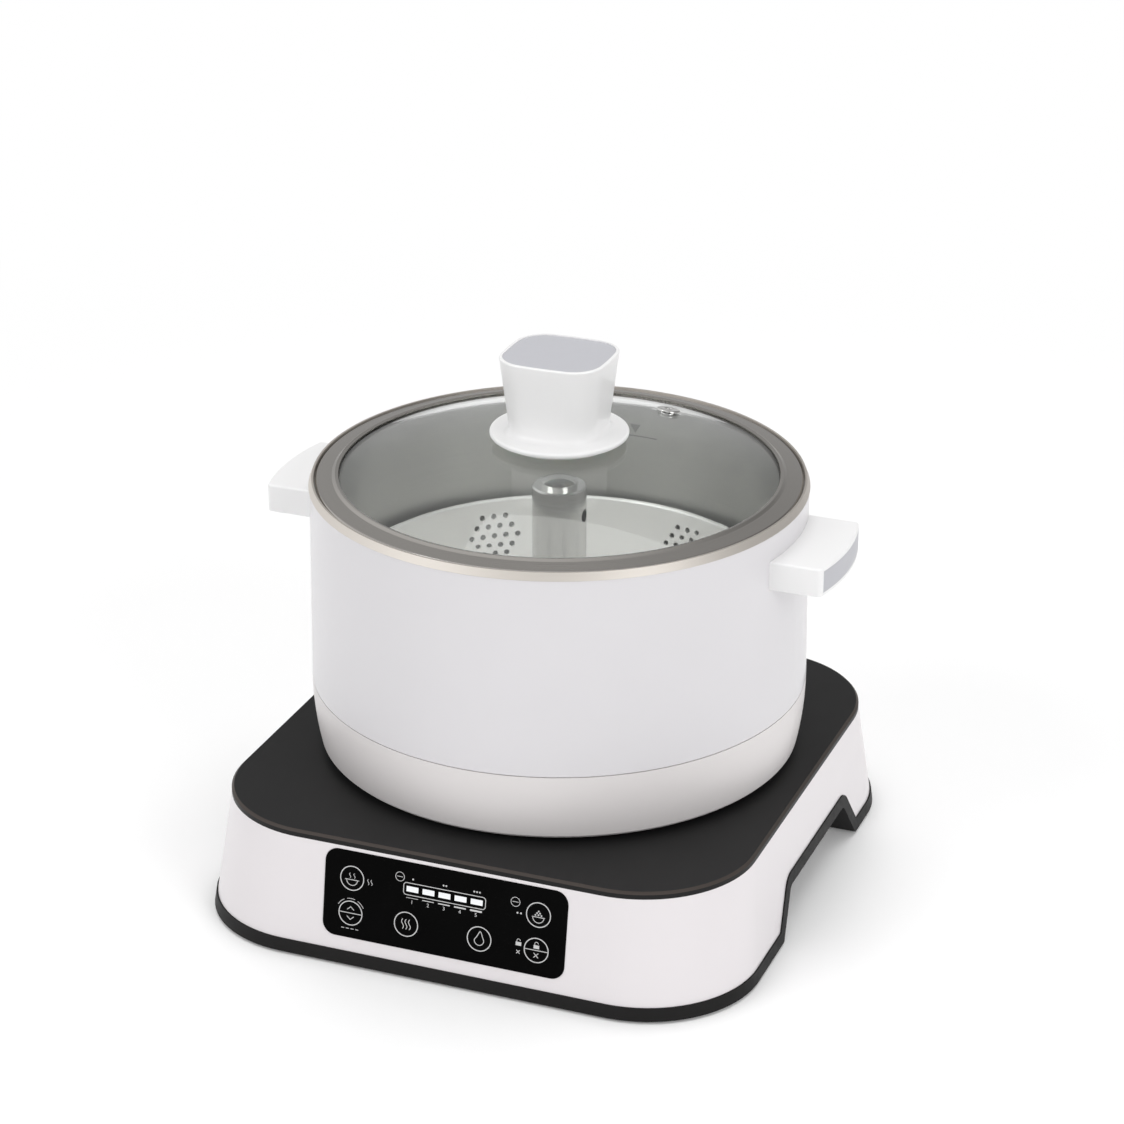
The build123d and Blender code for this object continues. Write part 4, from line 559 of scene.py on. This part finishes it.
class Print:
    """Flat marks on the touch panel, drawn in metres from the panel's middle."""

    def __init__(self, node):
        self.turn, self.origin = front_plane(node)
        self.shape = bmesh.new()

    def at(self, u, v, w=0.0):
        return self.origin + self.turn @ Vector((u, v, w))

    def lift(self, point):
        return point + self.turn @ Vector((0, 0, PRINT_T))

    def line(self, points, width, closed=False):
        """A stroke of even width along the points."""
        flat = [Vector(p) for p in points]
        left, right = [], []
        count = len(flat)
        for i, point in enumerate(flat):
            before = flat[i - 1] if closed or i else point
            after = flat[(i + 1) % count] if closed or i < count - 1 else point
            along_in = (point - before if before != point else after - point).normalized()
            along_out = (after - point if after != point else point - before).normalized()
            along = (along_in + along_out).normalized()
            side = Vector((-along.y, along.x))
            half = width / 2 / max(0.5, along.dot(along_out))
            left.append(self.at(*(point + side * half)))
            right.append(self.at(*(point - side * half)))
        band(self.shape, left, right, closed, self.lift)

    def arc(self, u, v, radius, width, start=0.0, stop=360.0):
        """A stroke round a centre, from start to stop in degrees."""
        sweep = stop - start
        whole = abs(sweep) >= 360.0
        steps = max(ARC_STEPS, int(abs(sweep) / ARC_STEP))
        count = steps if whole else steps + 1
        angles = [math.radians(start + sweep * i / steps) for i in range(count)]
        self.line([around(u, v, radius, a) for a in angles], width, whole)

    def dot(self, u, v, radius):
        self.fill([around(u, v, radius, a) for a in turns(DOT_SIDES)])

    def fill(self, corners):
        low = [self.at(*c) for c in corners]
        prism(self.shape, low, [self.lift(p) for p in low])

    def bar(self, u, v, width, height):
        self.fill([(u + x * width / 2, v + y * height / 2) for x, y in SQUARE])

    def frame(self, u, v, width, height, radius, line):
        """A stroke round a rectangle with rounded corners."""
        corners = []
        for k, (x, y) in enumerate(((1, 1), (-1, 1), (-1, -1), (1, -1))):
            centre = (u + x * (width / 2 - radius), v + y * (height / 2 - radius))
            for i in range(7):
                corners.append(around(*centre, radius, math.radians(90 * k + 15 * i)))
        self.line(corners, line, closed=True)

    def figure(self, text, u, v, height):
        """A plain numeral, centred."""
        curve = bpy.data.curves.new("figure", "FONT")
        curve.body = text
        curve.align_x = "CENTER"
        curve.align_y = "CENTER"
        curve.size = height / CAPITAL
        curve.resolution_u = 4
        curve.extrude = PRINT_T / 2
        holder = bpy.data.objects.new("figure", curve)
        mesh = bpy.data.meshes.new_from_object(holder)
        turn = self.turn.to_4x4()
        mesh.transform(Matrix.Translation(self.at(u, v, PRINT_T / 2)) @ turn)
        self.shape.from_mesh(mesh)
        bpy.data.objects.remove(holder)
        bpy.data.curves.remove(curve)
        bpy.data.meshes.remove(mesh)


def turns(count):
    """Angles of evenly spaced points on a circle."""
    return [2 * math.pi * i / count for i in range(count)]


def around(u, v, radius, angle):
    """A point on a circle."""
    return (u + radius * math.cos(angle), v + radius * math.sin(angle))


def wave(u, v, height, swing, steps=12):
    """A rising S, as steam is drawn."""
    heights = [i / steps for i in range(steps + 1)]
    return [(u + swing * math.sin(2 * math.pi * t), v + height * (t - 0.5)) for t in heights]


def chevron(u, v, half, rise):
    return [(u - half, v - rise / 2), (u, v + rise / 2), (u + half, v - rise / 2)]


def flame(u, v, size):
    """A drop with a drawn-out tip."""
    points = []
    for a in turns(28):
        tip = max(0.0, math.sin(a))
        across = 0.62 * math.cos(a) * (1.15 - 0.45 * tip) + 0.12 * tip
        along = 0.75 * math.sin(a) * (1.0 + 0.75 * tip ** 3) - 0.2
        points.append((u + size * across, v + size * along))
    return points


def pot_icon(ink, u, v):
    """A bowl with two wisps of steam."""
    ink.arc(u, v, 3.0 * MM, ICON_LINE, 180, 360)
    ink.line([(u - 3.9 * MM, v), (u + 3.9 * MM, v)], ICON_LINE)
    for side in (-1.2, 1.2):
        ink.line(wave(u + side * MM, v + 2.2 * MM, 2.6 * MM, 0.45 * MM), FINE_LINE)


def grain_icon(ink, u, v):
    """A bowl heaped with grains."""
    ink.arc(u, v - 0.4 * MM, 3.0 * MM, ICON_LINE, 180, 360)
    ink.line([(u - 3.5 * MM, v - 0.4 * MM), (u + 3.5 * MM, v - 0.4 * MM)], ICON_LINE)
    for x, y in ((-1.6, 0.6), (0.0, 0.7), (1.6, 0.6), (-0.8, 1.7), (0.8, 1.7), (0.0, 2.7)):
        ink.dot(u + x * MM, v + y * MM, 0.45 * MM)


def lock_icon(ink, u, v):
    ink.bar(u, v - 0.7 * MM, 3.0 * MM, 1.9 * MM)
    ink.line([(u - 0.95 * MM, v + 0.2 * MM), (u - 0.95 * MM, v + 0.9 * MM)], FINE_LINE)
    ink.arc(u, v + 0.9 * MM, 0.95 * MM, FINE_LINE, 0, 180)


def cross_icon(ink, u, v, half):
    ink.line([(u - half, v - half), (u + half, v + half)], ICON_LINE)
    ink.line([(u - half, v + half), (u + half, v - half)], ICON_LINE)


def key(ink, u, v, split=False):
    """Ring round a touch key, with a line across a double one."""
    ink.arc(u, v, KEY_R, KEY_LINE)
    if split:
        ink.line([(u - KEY_R, v), (u + KEY_R, v)], ICON_LINE)


def timer_icon(ink, u, v):
    ink.arc(u, v, 2.4 * MM, FINE_LINE)
    ink.line([(u - 1.6 * MM, v), (u + 1.6 * MM, v)], FINE_LINE)


def key_print(ink):
    """Rings and icons of the touch keys."""
    key(ink, -KEY_SIDE, KEY_UPPER)
    pot_icon(ink, -KEY_SIDE, KEY_UPPER - 0.8 * MM)
    key(ink, -KEY_SIDE, KEY_LOWER, split=True)
    ink.line(chevron(-KEY_SIDE, KEY_LOWER + 2.6 * MM, 1.9 * MM, 1.7 * MM), ICON_LINE)
    ink.line(chevron(-KEY_SIDE, KEY_LOWER - 2.6 * MM, 1.9 * MM, -1.7 * MM), ICON_LINE)
    key(ink, -KEY_INNER, KEY_LOWER)
    for x in (-1.9, 0.0, 1.9):
        ink.line(wave(-KEY_INNER + x * MM, KEY_LOWER, 5.4 * MM, 0.6 * MM), ICON_LINE)
    key(ink, KEY_INNER, KEY_LOWER)
    ink.line(flame(KEY_INNER, KEY_LOWER, 3.6 * MM), ICON_LINE, closed=True)
    key(ink, KEY_SIDE, KEY_UPPER)
    grain_icon(ink, KEY_SIDE, KEY_UPPER - 0.8 * MM)
    key(ink, KEY_SIDE, KEY_LOWER, split=True)
    lock_icon(ink, KEY_SIDE, KEY_LOWER + 2.5 * MM)
    cross_icon(ink, KEY_SIDE, KEY_LOWER - 2.7 * MM, 1.25 * MM)


def scale_print(ink, row, width):
    """Frame round the lights, bars that grow, plain numbers and dots for the three grades."""
    ink.frame(0, row, width + FRAME_ROOM, FRAME_H, FRAME_CORNER, ICON_LINE)
    pitch = (width - LIGHT_W) / (LIGHTS - 1)
    for i in range(LIGHTS):
        u = (i - (LIGHTS - 1) / 2) * pitch
        ink.bar(u, row - BAR_DOWN, BAR_W, BAR_T + BAR_GROWTH * i)
        ink.figure(str(i + 1), u, row - FIGURE_DOWN, FIGURE_H)
    for i, grade in enumerate((1, 2, 3)):
        for k in range(grade):
            u = (i - 1) * 2 * pitch + (k - (grade - 1) / 2) * GRADE_PITCH
            ink.dot(u, row + GRADE_UP, GRADE_R)


def note_print(ink, row):
    """Small marks beside the keys."""
    timer_icon(ink, -24.6 * MM, row + 5.7 * MM)
    timer_icon(ink, 38.2 * MM, KEY_UPPER + 4.6 * MM)
    for k in range(2):
        steam = -KEY_SIDE + (9.0 + 1.8 * k) * MM
        ink.line(wave(steam, KEY_UPPER - 0.4 * MM, 3.0 * MM, 0.4 * MM), FINE_LINE)
        ink.dot(KEY_SIDE - (9.3 + 1.9 * k) * MM, KEY_UPPER - 0.9 * MM, 0.5 * MM)
    lock_icon(ink, KEY_SIDE - NOTE_OUT, KEY_LOWER + 2.4 * MM)
    cross_icon(ink, KEY_SIDE - NOTE_OUT, KEY_LOWER - 2.6 * MM, 0.9 * MM)
    for start, stop in ((28, 62), (74, 106), (118, 152)):
        ink.arc(-KEY_SIDE, KEY_LOWER, KEY_R + 1.5 * MM, FINE_LINE, start, stop)
    for k in range(4):
        ink.bar(-KEY_SIDE + (k - 1.5) * 2.6 * MM, KEY_LOWER - 8.4 * MM, 1.7 * MM, 0.35 * MM)


def panel_print():
    """Everything printed on the touch panel, in one piece."""
    ink = Print("control_panel")
    low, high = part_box("level_lights")
    row = (ink.turn.transposed() @ (middle("level_lights") - ink.origin)).y
    key_print(ink)
    scale_print(ink, row, high.x - low.x)
    note_print(ink, row)
    finish = moulded("print_grey", (0.60, 0.60, 0.60), 0.5, spread=0.05)
    piece("panel_print", ink.shape, "base", "light_white", finish)


def wall_radius(node):
    """Radius about the pot's axis of a node's upright inner wall."""
    rings = [Vector((v.co.x, v.co.y, 0)) - POT_AXIS for v in NODES[node].data.vertices]
    return min(r.length for r in rings if r.length > WALL_BEYOND)


def level_mark():
    """Etched filling line on the inside of the pot: an arc with a pointer over it."""
    wall = wall_radius("inner_pot") - MARK_PROUD / 2

    def on_wall(angle, z):
        return POT_AXIS + Vector((*around(0, 0, wall, angle), z))

    def lift(point):
        out = point - POT_AXIS
        flat = Vector((out.x, out.y, 0)).normalized()
        return point - flat * MARK_PROUD

    shape = bmesh.new()
    sweep = MARK_STOP - MARK_START
    angles = [MARK_START + sweep * i / MARK_STEPS for i in range(MARK_STEPS + 1)]
    upper = [on_wall(a, MARK_Z + MARK_W / 2) for a in angles]
    lower = [on_wall(a, MARK_Z - MARK_W / 2) for a in angles]
    band(shape, upper, lower, False, lift)
    centre = (MARK_START + MARK_STOP) / 2
    reach = POINTER_HALF / wall
    corners = [on_wall(centre, MARK_Z + POINTER_TIP)]
    corners += [on_wall(centre + side * reach, MARK_Z + POINTER_TOP) for side in (1, -1)]
    prism(shape, corners, [lift(c) for c in corners])
    finish = plain_metal("etched_mark", (0.22, 0.22, 0.21), 0.55)
    piece("level_mark", shape, "pot", "pot_steel", finish)


def lathe(shape, rows, segments, radius_at):
    """A closed surface of level rows; radius_at(row, z, angle) may vary round a row."""
    rings = []
    for row, z in enumerate(rows):
        ring = []
        for a in turns(segments):
            ring.append(shape.verts.new((*around(0, 0, radius_at(row, z, a), a), z)))
        rings.append(ring)
    for low, high in zip(rings, rings[1:]):
        for i in range(segments):
            j = (i + 1) % segments
            shape.faces.new((low[i], low[j], high[j], high[i]))
    shape.faces.new(rings[0][::-1])
    shape.faces.new(rings[-1])


def lift_thread():
    """The lift screw with its three-start thread cut into the shaft."""
    low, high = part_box("lift_screw")
    shaft = (high.x - low.x) / 2
    seal_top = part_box("shaft_seal")[1].z
    rows = [low.z]
    while rows[-1] + THREAD_STEP < high.z:
        rows.append(rows[-1] + THREAD_STEP)
    rows.append(high.z)

    def cut(row, z, angle):
        if z < seal_top + PLAIN_FOOT or z > high.z - PLAIN_TOP:
            return shaft
        turn = z / THREAD_PITCH - angle * THREAD_STARTS / (2 * math.pi)
        phase = abs(turn % 1.0 - 0.5) * 2.0
        return shaft - THREAD_DEPTH * min(1.0, max(0.0, (FLANK_END - phase) / FLANK_W))

    shape = bmesh.new()
    lathe(shape, rows, THREAD_SIDES, cut)
    bmesh.ops.translate(shape, verts=shape.verts, vec=POT_AXIS)
    screw = piece("threaded_lift_screw", shape, "screw", "steel")
    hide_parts("lift_screw")


def screw_shape(head_r, head_h, shank_r, length):
    """A pan-head screw pointing up, its head's top at the origin looking down."""
    steps = max(8, int(length / (SCREW_PITCH / 4)))
    rows = [share * head_h for share, _ in HEAD_PROFILE]
    rows += [head_h + length * i / steps for i in range(steps + 1)]
    plain = [share * head_r for _, share in HEAD_PROFILE] + [shank_r, shank_r]
    tip = head_h + length - 2 * SCREW_PITCH

    def radius(row, z, angle):
        if row < len(plain):
            return plain[row]
        turn = (z / SCREW_PITCH - angle / (2 * math.pi)) % 1.0
        taper = 1.0 if z < tip else max(TIP_SHARE, 1.0 - (z - tip) / (3 * SCREW_PITCH))
        return (shank_r - SCREW_DEPTH * abs(turn - 0.5) * 2) * taper

    shape = bmesh.new()
    lathe(shape, rows, SCREW_SIDES, radius)
    return shape


def recess_cutter(head_r):
    """The cross that a driver bit leaves, narrower at its floor."""
    shape = bmesh.new()
    for across in ((1, 0, 0), (0, 1, 0)):
        along = Vector(across) * RECESS_REACH * head_r
        side = Vector((across[1], across[0], 0)) * RECESS_W / 2
        rims = []
        for z, share in ((-RECESS_OVER, 1.0), (RECESS_DEPTH, RECESS_FLOOR)):
            rims.append([(along * x + side * y) * share + Vector((0, 0, z)) for x, y in SQUARE])
        prism(shape, *rims)
    bmesh.ops.recalc_face_normals(shape, faces=shape.faces)
    return shape


def cross_head(head_r, head_h, shank_r, length):
    """A screw's mesh with its recess cut."""
    body = screw_shape(head_r, head_h, shank_r, length)
    bmesh.ops.recalc_face_normals(body, faces=body.faces)
    blank = as_object("screw_blank", body)
    cutter = as_object("screw_cutter", recess_cutter(head_r))
    cut = blank.modifiers.new("recess", "BOOLEAN")
    cut.operation = "DIFFERENCE"
    cut.solver = "EXACT"
    cut.use_self = True
    cut.object = cutter
    bpy.context.view_layer.update()
    graph = bpy.context.evaluated_depsgraph_get()
    mesh = bpy.data.meshes.new_from_object(blank.evaluated_get(graph))
    bpy.data.objects.remove(blank)
    bpy.data.objects.remove(cutter)
    return mesh


def islands(node):
    """Boxes of a node's separate solids."""
    shape = bmesh.new()
    shape.from_mesh(NODES[node].data)
    bmesh.ops.remove_doubles(shape, verts=shape.verts, dist=1e-6)
    left = set(shape.verts)
    boxes = []
    while left:
        todo = [left.pop()]
        low, high = todo[0].co.copy(), todo[0].co.copy()
        while todo:
            point = todo.pop()
            low = Vector(map(min, low, point.co))
            high = Vector(map(max, high, point.co))
            for edge in point.link_edges:
                other = edge.other_vert(point)
                if other in left:
                    left.remove(other)
                    todo.append(other)
        boxes.append((low, high))
    shape.free()
    return sorted(boxes, key=lambda b: tuple(b[0]))


def cross_screws(node, body, head_r, head_h, shank_r):
    """Screws with cut heads and threads in place of a node's plain ones; their heads look down."""
    shape = bmesh.new()
    for low, high in islands(node):
        mesh = cross_head(head_r, head_h, shank_r, high.z - low.z - head_h)
        centre = (low + high) / 2
        mesh.transform(Matrix.Translation((centre.x, centre.y, low.z)))
        shape.from_mesh(mesh)
        bpy.data.meshes.remove(mesh)
    screws = piece("cut_" + node, shape, body, "steel")
    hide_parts(node)


panel_print()
level_mark()
lift_thread()
cross_screws("tray_screws", "base", *TRAY_SCREW)
cross_screws("knob_screw", "lid", *KNOB_SCREW)


# Stage, light and camera

def seen_rays(tree):
    """1 for rays that carry a picture: straight to the camera, or by way of metal or glass."""
    path = tree.nodes.new("ShaderNodeLightPath")
    seen = path.outputs["Is Camera Ray"]
    for name in ("Is Glossy Ray", "Is Transmission Ray"):
        either = tree.nodes.new("ShaderNodeMath")
        either.operation = "MAXIMUM"
        tree.links.new(seen, either.inputs[0])
        tree.links.new(path.outputs[name], either.inputs[1])
        seen = either.outputs[0]
    return seen


def ramp(tree, value, start, stop, low, high):
    """A smooth step from low to high."""
    node = tree.nodes.new("ShaderNodeMapRange")
    node.interpolation_type = "SMOOTHSTEP"
    ends = {"From Min": start, "From Max": stop, "To Min": low, "To Max": high}
    for name, number in ends.items():
        node.inputs[name].default_value = number
    tree.links.new(value, node.inputs["Value"])
    return node.outputs["Result"]


def build_floor():
    """A pale disc that takes the shadow, turns pure white further off and is clear from below."""
    shape = bmesh.new()
    bmesh.ops.create_circle(shape, cap_ends=True, segments=FLOOR_SIDES, radius=FLOOR_R)
    floor = as_object("floor", shape)
    g = Graph("floor")
    grey = tuple(3 * [FLOOR_WHITE])
    g.colour(g.between(g.noise(1.5, 2.0), shade(grey, 0.995), shade(grey, 1.005)))
    g.set(Roughness=0.9, Specular_IOR_Level=0.0)
    seen = seen_rays(g.tree)
    g.set(Emission_Color=(1.0, 1.0, 1.0))
    g.link(g.math("MULTIPLY", seen, FLOOR_LIFT), g.shader.inputs["Emission Strength"])
    away = g.vector("LENGTH", g.vector("SUBTRACT", g.place, POT_AXIS))
    white = g.add("ShaderNodeEmission")
    mix = g.add("ShaderNodeMixShader")
    fade = ramp(g.tree, away, FADE_START, FADE_END, 0.0, 1.0)
    g.link(g.math("MULTIPLY", seen, fade), mix.inputs["Fac"])
    g.link(g.shader.outputs[0], mix.inputs[1])
    g.link(white.outputs[0], mix.inputs[2])
    from_below = g.add("ShaderNodeMixShader")
    g.link(g.add("ShaderNodeNewGeometry").outputs["Backfacing"], from_below.inputs["Fac"])
    g.link(mix.outputs[0], from_below.inputs[1])
    g.link(g.add("ShaderNodeBsdfTransparent").outputs[0], from_below.inputs[2])
    g.link(from_below.outputs[0], g.tree.nodes["Material Output"].inputs["Surface"])
    floor.data.materials.append(g.material)


def build_world():
    """A white backdrop, even in diffuse light; metal and glass see it greyer at some sides."""
    world = bpy.data.worlds.new("studio")
    bpy.context.scene.world = world
    world.use_nodes = True
    tree = world.node_tree
    back = tree.nodes["Background"]
    place = tree.nodes.new("ShaderNodeTexCoord")
    parts = tree.nodes.new("ShaderNodeSeparateXYZ")
    tree.links.new(place.outputs["Generated"], parts.inputs[0])
    studio = ramp(tree, parts.outputs["Z"], *SKY_RISE, SKY_LOW, SKY_HIGH)
    for axis, start, stop, share in SKY_SIDES:
        darker = tree.nodes.new("ShaderNodeMath")
        darker.operation = "MULTIPLY"
        tree.links.new(studio, darker.inputs[0])
        tree.links.new(ramp(tree, parts.outputs[axis], start, stop, 1.0, share), darker.inputs[1])
        studio = darker.outputs[0]
    level = tree.nodes.new("ShaderNodeMix")
    level.inputs["A"].default_value = AMBIENT
    tree.links.new(seen_rays(tree), level.inputs["Factor"])
    tree.links.new(studio, level.inputs["B"])
    backdrop = tree.nodes.new("ShaderNodeMix")
    backdrop.inputs["B"].default_value = 1.0
    path = tree.nodes.new("ShaderNodeLightPath")
    tree.links.new(path.outputs["Is Camera Ray"], backdrop.inputs["Factor"])
    tree.links.new(level.outputs["Result"], backdrop.inputs["A"])
    tree.links.new(backdrop.outputs["Result"], back.inputs["Strength"])
    back.inputs["Color"].default_value = (1, 1, 1, 1)


def softbox(name, place, aim_z, width, height, power, mirrored):
    """A lamp that looks at the middle of the base; metal shows it if it is mirrored."""
    lamp = bpy.data.lights.new(name, "AREA")
    lamp.shape = "RECTANGLE"
    lamp.size = width
    lamp.size_y = height
    lamp.energy = power
    holder = bpy.data.objects.new(name, lamp)
    holder.location = place
    holder.visible_glossy = mirrored
    aim = Vector((0, 0, aim_z)) - Vector(place)
    holder.rotation_euler = aim.to_track_quat("-Z", "Y").to_euler()
    bpy.context.scene.collection.objects.link(holder)


def build_camera():
    """The photograph's camera, shifted so that its axis falls on the pixel found."""
    data = bpy.data.cameras.new("camera")
    data.sensor_width = SENSOR
    data.lens = SENSOR * FOCAL / FRAME_SIDE
    data.shift_x = 0.5 - AXIS_PIXEL[0] / FRAME_SIDE
    data.shift_y = AXIS_PIXEL[1] / FRAME_SIDE - 0.5
    camera = bpy.data.objects.new("camera", data)
    level = math.cos(VIEW_ELEVATION)
    across = math.sin(VIEW_AZIMUTH) * level
    forward = -math.cos(VIEW_AZIMUTH) * level
    back = Vector((across, forward, math.sin(VIEW_ELEVATION)))
    target = POT_AXIS + Vector((0, 0, VIEW_HEIGHT))
    camera.location = target + back * VIEW_DISTANCE
    camera.rotation_euler = (-back).to_track_quat("-Z", "Y").to_euler()
    bpy.context.scene.collection.objects.link(camera)
    bpy.context.scene.camera = camera


build_floor()
build_world()
for lamp in LAMPS:
    softbox(*lamp)
build_camera()
bpy.context.scene.view_settings.view_transform = "Standard"
